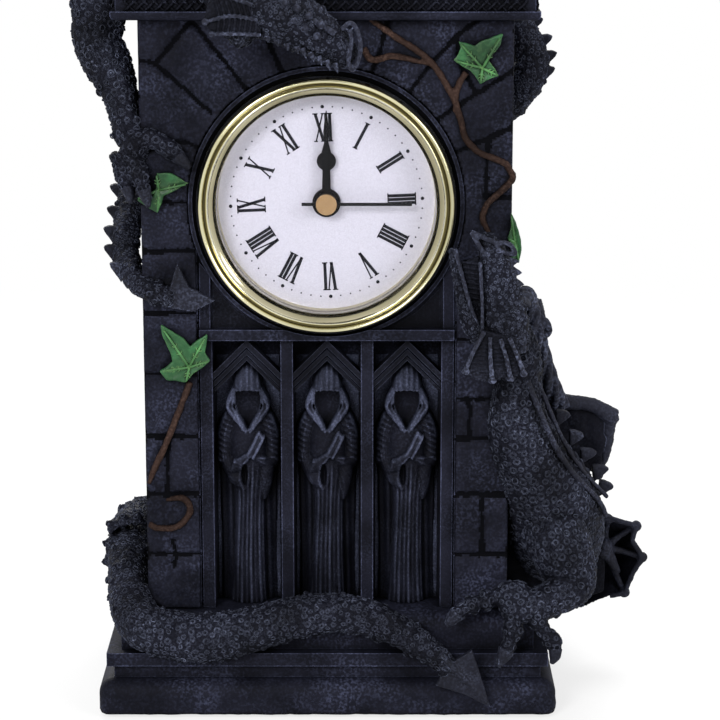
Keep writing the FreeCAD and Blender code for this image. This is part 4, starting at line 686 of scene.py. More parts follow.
def realized(tree, put, instances, material):
    """Ends a tree with its instances made real and painted."""
    real = add(tree, "GeometryNodeRealizeInstances", {0: instances.outputs[0]})
    painted = add(tree, "GeometryNodeSetMaterial", {0: real.outputs[0], "Material": material})
    put_out(tree, put, Geometry=painted.outputs[0])
    return tree


def run_tree(made, tree, **values):
    """Runs a tree on an object and keeps what it makes as a plain mesh."""
    modifier = made.modifiers.new(tree.name, "NODES")
    modifier.node_group = tree
    for item in tree.interface.items_tree:
        if item.item_type == "SOCKET" and item.in_out == "INPUT" and item.name in values:
            modifier[item.identifier] = values[item.name]
    return settle(made)


def ring_scales_tree():
    """Scatters raised rings and beads over a skin, each standing out of it, and keeps the skin."""
    tree, given, put = new_group("ring_scales", "GeometryNodeTree", {
        "Geometry": GEOMETRY, "Ring Width": 0.0018, "Ring Thickness": 0.0004, "Spacing": 0.0019,
        "Bead Width": 0.0008, "Material": MATERIAL, "Seed": 3}, {"Geometry": GEOMETRY})

    def strewn(seed):
        """Points over the skin, no two nearer than the spacing."""
        return add(tree, "GeometryNodeDistributePointsOnFaces", {
            "Mesh": given["Geometry"], "Distance Min": given["Spacing"], "Density Max": 900000.0,
            "Seed": seed},
            distribute_method="POISSON")

    spots = strewn(given["Seed"])
    outline = add(tree, "GeometryNodeCurvePrimitiveCircle",
                  {"Resolution": 9, "Radius": maths(tree, "MULTIPLY", given["Ring Width"], 0.38)})
    section = add(tree, "GeometryNodeCurvePrimitiveCircle",
                  {"Resolution": 4, "Radius": maths(tree, "MULTIPLY", given["Ring Thickness"], 0.5)})
    ring = add(tree, "GeometryNodeCurveToMesh", {"Curve": outline.outputs[0],
                                                 "Profile Curve": section.outputs[0]})
    # a FLOAT Random Value keeps its limits at sockets 2 and 3, and its result at socket 1
    sizes = add(tree, "FunctionNodeRandomValue", {2: 0.72, 3: 1.12, "Seed": given["Seed"]}, data_type="FLOAT")
    rings = add(tree, "GeometryNodeInstanceOnPoints", {
        "Points": spots.outputs["Points"], "Instance": ring.outputs[0], "Rotation": spots.outputs["Rotation"],
        "Scale": sizes.outputs[1]})
    between = strewn(maths(tree, "ADD", given["Seed"], 7.0))
    bead = add(tree, "GeometryNodeMeshIcoSphere",
               {"Radius": maths(tree, "MULTIPLY", given["Bead Width"], 0.5), "Subdivisions": 1})
    beads = add(tree, "GeometryNodeInstanceOnPoints", {
        "Points": between.outputs["Points"], "Instance": bead.outputs[0], "Scale": sizes.outputs[1]})
    both = add(tree, "GeometryNodeJoinGeometry")
    tree.links.new(beads.outputs[0], both.inputs[0])
    tree.links.new(rings.outputs[0], both.inputs[0])
    real = add(tree, "GeometryNodeRealizeInstances", {0: both.outputs[0]})
    shaded = add(tree, "GeometryNodeSetShadeSmooth", {0: real.outputs[0]})
    painted = add(tree, "GeometryNodeSetMaterial", {0: shaded.outputs[0], "Material": given["Material"]})
    whole = add(tree, "GeometryNodeJoinGeometry")
    tree.links.new(painted.outputs[0], whole.inputs[0])
    tree.links.new(given["Geometry"], whole.inputs[0])
    put_out(tree, put, Geometry=whole.outputs[0])
    return tree


def rows_tree():
    """Repeats a unit along X and Z, each copy a little uneven."""
    tree, given, put = new_group("rows", "GeometryNodeTree", {
        "Geometry": GEOMETRY, "Count X": 4, "Count Z": 4, "Step X": 0.01, "Step Z": 0.01, "Unevenness": 0.03,
        "Material": MATERIAL, "Seed": 1}, {"Geometry": GEOMETRY})
    row = add(tree, "GeometryNodeMeshLine", {
        "Count": given["Count X"],
        "Offset": add(tree, "ShaderNodeCombineXYZ", {"X": given["Step X"]}).outputs[0]})
    rows = add(tree, "GeometryNodeMeshLine", {
        "Count": given["Count Z"],
        "Offset": add(tree, "ShaderNodeCombineXYZ", {"Z": given["Step Z"]}).outputs[0]})
    grid = add(tree, "GeometryNodeInstanceOnPoints", {"Points": rows.outputs[0], "Instance": row.outputs[0]})
    flat = add(tree, "GeometryNodeRealizeInstances", {0: grid.outputs[0]})
    sizes = add(tree, "FunctionNodeRandomValue", {
        2: maths(tree, "SUBTRACT", 1.0, given["Unevenness"]), 3: maths(tree, "ADD", 1.0, given["Unevenness"]),
        "Seed": given["Seed"]}, data_type="FLOAT")
    units = add(tree, "GeometryNodeInstanceOnPoints", {
        "Points": flat.outputs[0], "Instance": given["Geometry"], "Scale": sizes.outputs[1]})
    return realized(tree, put, units, given["Material"])


def dots_tree():
    """A round of flat dots about the Y axis, with a larger one at each of a few even places."""
    tree, given, put = new_group("minute_dots", "GeometryNodeTree", {
        "Geometry": GEOMETRY, "Radius": 0.0241, "Count": 60, "Large Every": 5.0, "Small Share": 0.45,
        "Material": MATERIAL}, {"Geometry": GEOMETRY})
    ring = add(tree, "GeometryNodeMeshCircle", {"Vertices": given["Count"], "Radius": given["Radius"]})
    stood = add(tree, "GeometryNodeTransform", {"Geometry": ring.outputs[0],
                                                "Rotation": (math.pi / 2, 0.0, 0.0)})
    index = add(tree, "GeometryNodeInputIndex").outputs[0]
    off = maths(tree, "MODULO", index, given["Large Every"])
    small = maths(tree, "GREATER_THAN", off, 0.5)
    shrink = maths(tree, "SUBTRACT", 1.0, given["Small Share"])
    size = maths(tree, "SUBTRACT", 1.0, maths(tree, "MULTIPLY", small, shrink))
    dots = add(tree, "GeometryNodeInstanceOnPoints", {
        "Points": stood.outputs[0], "Instance": given["Geometry"], "Scale": size})
    return realized(tree, put, dots, given["Material"])


RING_SCALES, ROWS, DOTS = ring_scales_tree(), rows_tree(), dots_tree()


# The dial: Roman numerals of thick and thin strokes, and minute dots

DIAL_Y = -27.5
INK_T = 0.06
DIAL_TURN = math.radians(2.4)
NUMERAL_MIDDLE_R, NUMERAL_H = 18.9, 7.2
THICK, THIN, SERIF_T, SERIF_OUT = 0.78, 0.36, 0.30, 0.28
LETTER_W = {"I": 0.95, "V": 2.30, "X": 2.50}
NUMERALS = ("XII", "I", "II", "III", "IIII", "V", "VI", "VII", "VIII", "IX", "X", "XI")


def stroke(x_low, x_high, width):
    half, top = width / 2, NUMERAL_H / 2
    return [(x_low - half, -top), (x_low + half, -top), (x_high + half, top), (x_high - half, top)]


def serif(x, z, width):
    half = width / 2 + SERIF_OUT
    up = SERIF_T if z < 0 else -SERIF_T
    return [(x - half, z), (x + half, z), (x + half, z + up), (x - half, z + up)]


def letter(kind, x):
    """A letter's strokes and serifs as flat outlines about x."""
    top, lean = NUMERAL_H / 2, LETTER_W[kind] / 2 - 0.30
    if kind == "I":
        return [stroke(x, x, THICK), serif(x, top, THICK), serif(x, -top, THICK)]
    if kind == "V":
        return [stroke(x, x - lean, THICK), stroke(x, x + lean, THIN), serif(x - lean, top, THICK),
                serif(x + lean, top, THIN)]
    return [stroke(x + lean, x - lean, THICK), stroke(x - lean, x + lean, THIN), serif(x - lean, top, THICK),
            serif(x + lean, top, THIN), serif(x - lean, -top, THIN), serif(x + lean, -top, THICK)]


def numeral(text, hour):
    width = sum(LETTER_W[kind] for kind in text)
    x, outlines = -width / 2, []
    for kind in text:
        outlines += letter(kind, x + LETTER_W[kind] / 2)
        x += LETTER_W[kind]
    angle = DIAL_TURN - TURN * hour / 12
    forms = []
    for outline in outlines:
        placed = []
        for across, up in outline:
            out = NUMERAL_MIDDLE_R + up
            placed.append((across * math.cos(angle) - out * math.sin(angle),
                           CLOCK_Z + across * math.sin(angle) + out * math.cos(angle)))
        forms.append(plate(placed, DIAL_Y - INK_T, DIAL_Y))
    return forms


def dial_print():
    """The numerals and the minute dots, as thin solid ink on the dial."""
    numerals = new_object("numerals", joined([form for hour, text in enumerate(NUMERALS)
                                              for form in numeral(text, hour)]), INK, smooth=False)
    disc = [(0.46 * math.cos(TURN * step / 12), 0.46 * math.sin(TURN * step / 12)) for step in range(12)]
    dots = run_tree(new_object("dots", plate(disc, -INK_T, 0.0), INK, smooth=False), DOTS, Radius=24.1 * MM,
                    Count=60, Material=INK, **{"Large Every": 5.0, "Small Share": 0.44})
    turn = np.array([[math.cos(DIAL_TURN), -math.sin(DIAL_TURN)], [math.sin(DIAL_TURN), math.cos(DIAL_TURN)]])
    for vertex in dots.data.vertices:
        x, z = turn @ np.array([vertex.co.x, vertex.co.z])
        vertex.co = (x, vertex.co.y + DIAL_Y * MM, z + CLOCK_Z * MM)
    show(merged("dial_print", numerals, dots), "dial_print", "clock_insert")


dial_print()

BEZEL_SECTION = ((32.4, -29.2), (32.5, -31.0), (32.45, -33.6), (32.1, -35.0), (31.5, -35.9), (30.9, -35.7),
                 (30.4, -34.9), (30.1, -35.3), (29.7, -35.6), (29.3, -35.1), (28.4, -34.4), (27.5, -33.5),
                 (27.45, -31.5), (27.5, -29.3), (29.9, -29.15))


def bezel():
    show(new_object("bezel", turned_ring(BEZEL_SECTION), GOLD), "bezel_rim", "clock_insert",
         ["bezel"])


def minute_pointer():
    """A slim hand: boss, stem, and a leaf-shaped end."""
    outline = [(2.6 * math.sin(angle), 2.6 * math.cos(angle)) for angle in np.linspace(0.25, TURN - 0.25, 28)]
    side = ((0.55, 4.0), (0.42, 9.0), (0.36, 14.2), (0.62, 16.4), (0.74, 18.2), (0.45, 20.8), (0.10, 23.4))
    outline += [(-x, up) for x, up in side] + [(x, up) for x, up in side[::-1]]
    form = plate([(x, CLOCK_Z + up) for x, up in outline], -30.05, -29.75)
    show(new_object("pointer", form, HAND_BLACK, smooth=False), "minute_pointer",
         "minute_drive", ["minute_hand"])


bezel()
minute_pointer()


# Stonework: the front wall is one relief with the joints of its stones cut in

WALL_STEP, WALL_HALF_W, WALL_PROUD = 0.46, 46.3, 0.82
OPEN_HALF_W, OPEN_TOP_Z = 32.6, 132.0
CUT_DEPTH, CUT_HALF_W = 2.6, 0.44
EASED_DEPTH, EASED_HALF_W = 0.26, 1.5
JOINT = 0.55
JOINT_LINES = (
    ((193, 20), (222, 56), (252, 94)), ((193, 20), (157, 64), (184, 87), (213, 113)), ((157, 64), (136, 60)),
    ((140, 152), (166, 143), (184, 142), (202, 148)), ((262, 18), (271, 44), (286, 78)),
    ((390, 18), (382, 50), (369, 82)), ((484, 16), (458, 36), (432, 64), (408, 96)),
    ((458, 36), (464, 70), (478, 94)), ((518, 68), (478, 94), (448, 113), (430, 126)),
    ((516, 126), (490, 138), (448, 156)), ((490, 138), (486, 196), (512, 197)), ((330, 16), (328, 82)),
    ((142, 200), (192, 203)), ((142, 251), (202, 251)), ((142, 313), (202, 313)), ((142, 374), (202, 374)),
    ((142, 436), (202, 436)),
    ((142, 494), (202, 494)), ((142, 554), (202, 554)), ((168, 437), (168, 493)),
    ((173, 540), (177, 556), (174, 566)), ((456, 340), (516, 340)), ((456, 399), (516, 399)),
    ((456, 438), (516, 438)), ((456, 494), (516, 494)), ((456, 554), (516, 554)), ((482, 496), (482, 553)),
    ((470, 400), (470, 437)), ((466, 262), (514, 262)),
)


def front_wall():
    """A sheet over the front, its stones' joints cut as in the photograph, round the clock and the niche."""
    columns, rows = int(2 * WALL_HALF_W / WALL_STEP), int((EAVE_Z - TOWER_FOOT_Z - 0.6) / WALL_STEP)
    x, z = np.meshgrid(np.linspace(-WALL_HALF_W, WALL_HALF_W, columns),
                       np.linspace(TOWER_FOOT_Z + 0.2, EAVE_Z - 0.2, rows))
    away = np.full(x.shape, 1e9)
    for line in JOINT_LINES:
        corners = [np.array(on_plane(*pixel, -TOWER_HALF_D)) for pixel in line]
        for (x0, z0), (x1, z1) in zip(corners, corners[1:]):
            along = ((x - x0) * (x1 - x0) + (z - z0) * (z1 - z0)) / ((x1 - x0) ** 2 + (z1 - z0) ** 2)
            along = np.clip(along, 0, 1)
            away = np.minimum(away, np.hypot(x - x0 - along * (x1 - x0), z - z0 - along * (z1 - z0)))
    places = [Vector((some_x, 0.0, some_z)) for some_x, some_z in zip(x.ravel(), z.ravel())]
    broad, middling, fine = (np.array([noise.noise(place * scale) for place in places]).reshape(x.shape)
                             for scale in (0.13, 0.55, 1.5))
    wobble = away + 0.12 * middling
    height = WALL_PROUD + 0.28 * broad + 0.24 * middling + 0.16 * fine
    height -= (CUT_DEPTH * np.exp(-(wobble / CUT_HALF_W) ** 4)
               + EASED_DEPTH * np.exp(-(wobble / EASED_HALF_W) ** 2))
    height -= 0.5 * np.clip((np.abs(x) - 45.6) / 0.7, 0, 1)
    up = z - CLOCK_Z
    inside = np.hypot(x, up) > SURROUND_R + 0.1
    inside &= (np.abs(x) > OPEN_HALF_W) | (z > OPEN_TOP_Z)
    front = -TOWER_HALF_D - np.clip(height, 0.06, 1.3)
    made = new_object("wall", thick_sheet(x, z, front, inside, FIELD_Y + 0.5), STONE)
    made.data.materials.append(CREVICE)
    for face in made.data.polygons:
        if -TOWER_HALF_D - 0.32 < face.center.y / MM < -TOWER_HALF_D + 0.4:
            face.material_index = 1
    show(made, "front_stonework")


front_wall()


def rounded_frame(section, half_w, half_d, corner, steps=7):
    """A closed moulding round a rectangle, from its section's reach outwards and height."""
    spots = []
    for quarter, (sign_x, sign_y) in enumerate(((1, 1), (-1, 1), (-1, -1), (1, -1))):
        for step in range(steps):
            angle = math.pi / 2 * (quarter + step / (steps - 1))
            spots.append((sign_x * (half_w - corner), sign_y * (half_d - corner), math.cos(angle),
                          math.sin(angle)))
    fine = []
    for (x0, y0, c0, s0), (x1, y1, c1, s1) in zip(spots, spots[1:] + spots[:1]):
        parts = max(1, int(math.hypot(x1 - x0, y1 - y0) / 1.2))
        for part in range(parts):
            share = part / parts
            fine.append((x0 + (x1 - x0) * share, y0 + (y1 - y0) * share,
                         c0 + (c1 - c0) * share, s0 + (s1 - s0) * share))
    points, faces, count = [], [], len(section)
    for x, y, cos, sin in fine:
        points += [(x + (corner + out) * cos, y + (corner + out) * sin, z) for out, z in section]
    for spot in range(len(fine)):
        low, high = spot * count, (spot + 1) % len(fine) * count
        for step in range(count):
            after = (step + 1) % count
            faces.append((low + step, high + step, high + after, low + after))
    return points, faces


ROLL_SECTION = ((-4.0, 1.0), (-1.2, 0.85), (-0.25, 1.1), (0.0, 1.9), (0.05, 3.2), (0.0, 4.6), (-0.15, 6.0),
                (-0.7, 7.6), (-1.7, 8.9), (-3.0, 9.7), (-4.6, 9.9), (-5.6, 8.0), (-5.6, 3.0))


ROLL_HALF_W, ROLL_HALF_D, ROLL_CORNER = 58.85, 41.65, 3.5


def plinth_roll():
    roll = new_object("roll", rounded_frame(ROLL_SECTION, ROLL_HALF_W, ROLL_HALF_D, ROLL_CORNER), STONE)
    roughen(roll, 0.16, 210.0, 0.8)
    show(roll, "plinth_roll")


BAY_CENTRES, BAY_HALF_W, APEX_Z = (-20.4, 0.0, 20.4), 8.7, 97.3


def chevron(centre, top, thick, y_front, y_back):
    outline = [(centre - BAY_HALF_W, top - BAY_HALF_W), (centre, top),
               (centre + BAY_HALF_W, top - BAY_HALF_W), (centre + BAY_HALF_W, top - BAY_HALF_W - thick),
               (centre, top - thick), (centre - BAY_HALF_W, top - BAY_HALF_W - thick)]
    return plate(outline, y_front, y_back)


def window_heads():
    """Three stepped mouldings in each pointed head, over a sunk ground."""
    forms = []
    for centre in BAY_CENTRES:
        forms += [chevron(centre, APEX_Z, 1.9, -30.1, -25.5),
                  chevron(centre, APEX_Z - 2.5, 1.5, -29.5, -25.5),
                  chevron(centre, APEX_Z - 4.5, 1.1, -28.8, -25.5),
                  chevron(centre, APEX_Z - 0.5, 4.6, -27.9, -25.0)]
    made = new_object("heads", joined(forms), CARVING, smooth=False)
    show(made, "window_mouldings", stands_for=["window_heads"])


PANEL_CORNERS = (((214, 288), (214, 327), (264, 327), (238, 312)),
                 ((441, 288), (441, 327), (391, 327), (417, 312)))
STILE_CORNERS = (((200, 262), (211, 276), (211, 331), (200, 331)),
                 ((444, 276), (455, 262), (455, 331), (444, 331)))
PANEL_Y, STILE_Y, SPANDREL_BACK_Y = -29.9, -30.8, -29.6


def spandrels():
    """Three-cornered panels in shade paint between the round surround and the rail, painted shade for their
    sunk fields, and the stiles beside them.
    """
    dark = [plate([on_plane(*pixel, PANEL_Y) for pixel in corners], PANEL_Y - 0.05, SPANDREL_BACK_Y)
            for corners in PANEL_CORNERS]
    pale = [plate([on_plane(*pixel, STILE_Y) for pixel in corners], STILE_Y - 0.1, SPANDREL_BACK_Y)
            for corners in STILE_CORNERS]
    panels = new_object("panels", joined(dark), SHADE, smooth=False)
    stiles = new_object("stiles", joined(pale), MOULDING, smooth=False)
    show(merged("panels", panels, stiles), "spandrel_panels")


plinth_roll()
window_heads()
spandrels()


def block_unit(width, depth, height, rounding, material):
    """One rounded block about its own middle, with a few faces."""
    unit = new_object("block", plate([(-width / 2, -height / 2), (width / 2, -height / 2),
                                      (width / 2, height / 2), (-width / 2, height / 2)], -depth / 2,
                                     depth / 2), material)
    edge = unit.modifiers.new("edge", "BEVEL")
    edge.width, edge.segments = rounding * MM, 2
    return settle(unit)


def set_in_place(made, spot, turn=0.0):
    """Turns a mesh about Z and moves it, in its own vertices."""
    cos, sin = math.cos(turn), math.sin(turn)
    for vertex in made.data.vertices:
        x, y, z = vertex.co
        vertex.co = (x * cos - y * sin + spot[0] * MM, x * sin + y * cos + spot[1] * MM, z + spot[2] * MM)
    return made


def in_rows(unit, material, seed, counts, steps, start, unevenness=0.0):
    """A unit repeated along X and Z, with its first column moved to start."""
    made = run_tree(unit, ROWS, Material=material, Seed=seed, Unevenness=unevenness, **{
        "Count X": counts[0], "Count Z": counts[1], "Step X": steps[0] * MM, "Step Z": steps[1] * MM})
    for vertex in made.data.vertices:
        vertex.co.x += start * MM
    return made


COURSE, COURSES = 15.2, 10
BLOCK_DEPTH, BLOCK_SINK = 0.9, 1.35
SIDE_FIELD_W, BACK_FIELD_W = 34.0, 65.0


def wall_stones():
    """Coursed blocks on the tower's sides and back, in the fields between the corner stones."""
    parts = []
    side_x, gap = TOWER_HALF_W - BLOCK_SINK, JOINT * 1.6
    fields = ((-side_x, 0.0, math.pi / 2, SIDE_FIELD_W, 2), (side_x, 0.0, math.pi / 2, SIDE_FIELD_W, 2),
              (0.0, TOWER_HALF_D - BLOCK_SINK, 0.0, BACK_FIELD_W, 4))
    for seed, (x, y, turn, width, across) in enumerate(fields):
        step = width / across
        unit = block_unit(step - gap, BLOCK_DEPTH, COURSE - gap, 0.5, STONE)
        wall = in_rows(unit, STONE, seed, (across, COURSES), (step, COURSE), -width / 2 + step / 2, 0.015)
        parts.append(set_in_place(wall, (x, y, TOWER_FOOT_Z + COURSE / 2), turn))
    show(merged("wall_stonework", *parts), "wall_stonework")


wall_stones()


# The frieze's woven lattice, and the spire's slates

EAVE_HALF_W, EAVE_HALF_D = 52.5, 37.0
LATTICE_PITCH, LATTICE_SINK = 2.45, 1.2


def lattice_unit():
    """One crossing of the lattice: two round bars, one over the other."""
    half = LATTICE_PITCH / 2
    over = [(-half, -0.3, -half, 0.34), (0.0, -0.7, 0.0, 0.36), (half, -0.3, half, 0.34)]
    under = [(-half, -0.5, half, 0.34), (0.0, -0.1, 0.0, 0.36), (half, -0.5, -half, 0.34)]
    return new_object("crossing", joined([tube(over, 5, 2), tube(under, 5, 2)]), CARVING)


def frieze_carving():
    """Bands of the lattice on the frieze's four sides."""
    parts = []
    x_out, y_out = EAVE_HALF_W - LATTICE_SINK, EAVE_HALF_D - LATTICE_SINK
    for x, y, turn, half in ((0.0, -y_out, 0.0, x_out), (0.0, y_out, math.pi, x_out),
                             (x_out, 0.0, math.pi / 2, y_out), (-x_out, 0.0, -math.pi / 2, y_out)):
        count = int((2 * half - 3.0) / LATTICE_PITCH)
        band = in_rows(lattice_unit(), CARVING, 1, (count, 3), (LATTICE_PITCH, LATTICE_PITCH),
                       -(count - 1) * LATTICE_PITCH / 2)
        parts.append(set_in_place(band, (x, y, (FRIEZE_FOOT_Z + FRIEZE_TOP_Z) / 2 - LATTICE_PITCH), turn))
    show(merged("frieze_lattice", *parts), "frieze_lattice")


frieze_carving()

SPIRE_RISE = (0.0, 0.14, 0.45, 1.0)
SPIRE_W_SHARES, SPIRE_D_SHARES = (0.96, 0.72, 0.42, 0.05), (0.96, 0.70, 0.42, 0.05)
SLATE_W, SLATE_H = 4.4, 4.6


def laid_tree():
    """Lays a unit on each point, turned and sized by what the point carries."""
    tree, given, put = new_group("laid", "GeometryNodeTree", {
        "Geometry": GEOMETRY, "Unit Width": 0.0042, "Unit Height": 0.006, "Unit Thickness": 0.0007,
        "Material": MATERIAL}, {"Geometry": GEOMETRY})
    size = add(tree, "ShaderNodeCombineXYZ", {"X": given["Unit Width"], "Y": given["Unit Thickness"],
                                              "Z": given["Unit Height"]}).outputs[0]
    unit = add(tree, "GeometryNodeMeshCube", {"Size": size})
    turn = add(tree, "GeometryNodeInputNamedAttribute", {"Name": "turn"}, data_type="FLOAT_VECTOR")
    stretch = add(tree, "GeometryNodeInputNamedAttribute", {"Name": "stretch"}, data_type="FLOAT_VECTOR")
    laid = add(tree, "GeometryNodeInstanceOnPoints", {
        "Points": given["Geometry"], "Instance": unit.outputs["Mesh"], "Rotation": turn.outputs[0],
        "Scale": stretch.outputs[0]})
    return realized(tree, put, laid, given["Material"])


LAID = laid_tree()


def spire_half(z):
    rise = (z - SPIRE_FOOT_Z) / (SPIRE_TOP_Z - SPIRE_FOOT_Z)
    return (EAVE_HALF_W * np.interp(rise, SPIRE_RISE, SPIRE_W_SHARES),
            EAVE_HALF_D * np.interp(rise, SPIRE_RISE, SPIRE_D_SHARES))


def spire_slates():
    """Courses of slates up the spire's four faces, and rolled hips."""
    spots, turns, stretches = [], [], []
    chance = np.random.default_rng(4)
    z, course = SPIRE_FOOT_Z + 1.6, 0
    while z < SPIRE_TOP_Z - 4:
        for face in range(4):
            low, high = spire_half(z - 0.5), spire_half(z + 0.5)
            half = spire_half(z)
            along, out, change = ((half[0], half[1], high[1] - low[1]) if face % 2 == 0
                                  else (half[1], half[0], high[0] - low[0]))
            lean = math.atan2(-change, 1.0)
            turn = face * math.pi / 2
            count = max(1, int(2 * along / SLATE_W))
            width = 2 * along / count
            for step in range(-1, count + 1):
                across = -along + width * (step + 0.5 + 0.5 * (course % 2))
                if abs(across) > along - 0.3 * width:
                    continue
                reach = -out - 0.15
                spots.append((across * math.cos(turn) - reach * math.sin(turn),
                              across * math.sin(turn) + reach * math.cos(turn), z))
                turns.append((-lean + chance.normal(0, 0.02) - 0.06, chance.normal(0, 0.02), turn))
                stretches.append((width / SLATE_W * chance.uniform(0.93, 1.0), chance.uniform(0.85, 1.25),
                                  1.0))
        z += SLATE_H * 0.86 * max(0.45, math.cos(lean))
        course += 1
    mesh = bpy.data.meshes.new("spots")
    mesh.from_pydata([tuple(part * MM for part in spot) for spot in spots], [], [])
    for label, rows in (("turn", turns), ("stretch", stretches)):
        mesh.attributes.new(label, "FLOAT_VECTOR", "POINT").data.foreach_set("vector", np.array(rows).ravel())
    made = bpy.data.objects.new("spots", mesh)
    bpy.context.scene.collection.objects.link(made)
    run_tree(made, LAID, Material=STONE, **{"Unit Width": SLATE_W * MM, "Unit Height": SLATE_H * 1.25 * MM,
                                            "Unit Thickness": 0.8 * MM})
    hips = []
    for way_x, way_y in ((1, 1), (1, -1), (-1, 1), (-1, -1)):
        rows = []
        for rise in (0.01, 0.05, 0.10, 0.14, 0.22, 0.32, 0.45, 0.62, 0.80, 0.96):
            height = SPIRE_FOOT_Z + rise * (SPIRE_TOP_Z - SPIRE_FOOT_Z)
            half = spire_half(height)
            rows.append((way_x * half[0], way_y * half[1], height, 0.95))
        hips.append(tube(rows, 8, 3))
    rolled = roughen(new_object("hips", joined(hips), MOULDING), 0.12, 500.0)
    show(merged("slates", made, rolled), "spire_slates")


spire_slates()


# Hooded figures: each is a relief, its depth worked out over a fine grid, closed by a flat back

RELIEF_STEP = 0.22
FIGURE_HALF_W, FIGURE_H = 8.2, 65.4


class Relief:
    """Depths in front of the niche's back over a grid of x and z, in millimetres."""

    def __init__(self):
        columns = int(2 * FIGURE_HALF_W / RELIEF_STEP) + 1
        rows = int(FIGURE_H / RELIEF_STEP) + 1
        self.x, self.z = np.meshgrid(np.linspace(-FIGURE_HALF_W, FIGURE_HALF_W, columns),
                                     np.linspace(0.0, FIGURE_H, rows))
        self.depth = np.zeros_like(self.x)

    def raise_to(self, depth, soft=0.25):
        """Keeps the larger of two depths, with a soft join."""
        gap = np.abs(self.depth - depth)
        join = np.where(gap < soft, (soft - gap) ** 2 / (4 * soft), 0.0)
        self.depth = np.maximum(self.depth, depth) + join * (depth > 0)

    def along(self, line):
        """The distance to a smooth line of x, z, radius and lift rows, and its radius and lift there."""
        best = np.full(self.x.shape, 1e9)
        radius, lift = np.zeros_like(best), np.zeros_like(best)
        for x, z, some_radius, some_lift in smooth_line(line, 8):
            away = np.hypot(self.x - x, self.z - z) / max(some_radius, 0.01)
            nearer = away < best
            best = np.where(nearer, away, best)
            radius = np.where(nearer, some_radius, radius)
            lift = np.where(nearer, some_lift, lift)
        return best, radius, lift

    def limb(self, line, height_share=1.0, folds=0.0):
        """A rounded limb along rows of x, z, radius and lift."""
        away, radius, lift = self.along(line)
        bow = np.sqrt(np.clip(1 - away ** 2, 0, 1)) * radius * height_share
        if folds:
            bow = bow * (1 + folds * np.sin(self.z * 4.2 + self.x * 2.0))
        self.raise_to(np.where(away < 1, lift + bow, 0.0))

    def cord(self, line):
        """A thin raised hem laid over what is there."""
        away, radius, lift = self.along(line)
        self.depth = np.where(away < 1, self.depth + np.sqrt(np.clip(1 - away ** 2, 0, 1)) * radius * 0.9,
                              self.depth)

    def crests(self):
        """How far each place stands above the mean of its surroundings, from 0 to 1, and 0 on the back."""
        reach = 4
        sums = np.zeros_like(self.depth)
        padded = np.pad(self.depth, reach, mode="edge")
        rows, columns = self.depth.shape
        for down in range(2 * reach + 1):
            for along in range(2 * reach + 1):
                sums += padded[down:down + rows, along:along + columns]
        above = self.depth - sums / (2 * reach + 1) ** 2
        crest = 0.58 * np.clip((above - 0.09) / 0.32, 0, 1)
        streaks = 0.5 + 0.5 * np.sin(self.x * 2.3 + np.sin(self.z * 0.11) * 1.2)
        hood = (self.z > 57.6) & (self.depth > 3.0)
        crest = np.where(hood, 0.20 + 0.42 * (0.5 + 0.5 * np.cos(self.x * 4.4 + 0.8)) * streaks, crest)
        pleats = np.clip((above + 0.02) / 0.3, 0, 1) * 0.26 * streaks * np.exp(-(self.x / 5.0) ** 4)
        return np.where(self.z < 38, pleats, crest)

    def form(self, centre_x):
        rows, columns = self.x.shape
        front = [(centre_x + x, NICHE_BACK_Y - depth, TOWER_FOOT_Z + z)
                 for x, z, depth in zip(self.x.ravel(), self.z.ravel(),
                                        np.clip(self.depth, 0.0, None).ravel() + 0.02)]
        faces = []
        for row in range(rows - 1):
            for column in range(columns - 1):
                corner = row * columns + column
                faces.append((corner, corner + 1, corner + columns + 1, corner + columns))
        rim = list(range(columns)) + [row * columns + columns - 1 for row in range(1, rows)]
        rim += [rows * columns - 1 - column for column in range(1, columns)]
        rim += [row * columns for row in range(rows - 2, 0, -1)]
        start = len(front)
        back = [(front[corner][0], NICHE_BACK_Y, front[corner][2]) for corner in rim]
        for step, corner in enumerate(rim):
            after = (step + 1) % len(rim)
            faces.append((rim[after], corner, start + step, start + after))
        faces.append(tuple(start + step for step in range(len(rim))))
        return front + back, faces


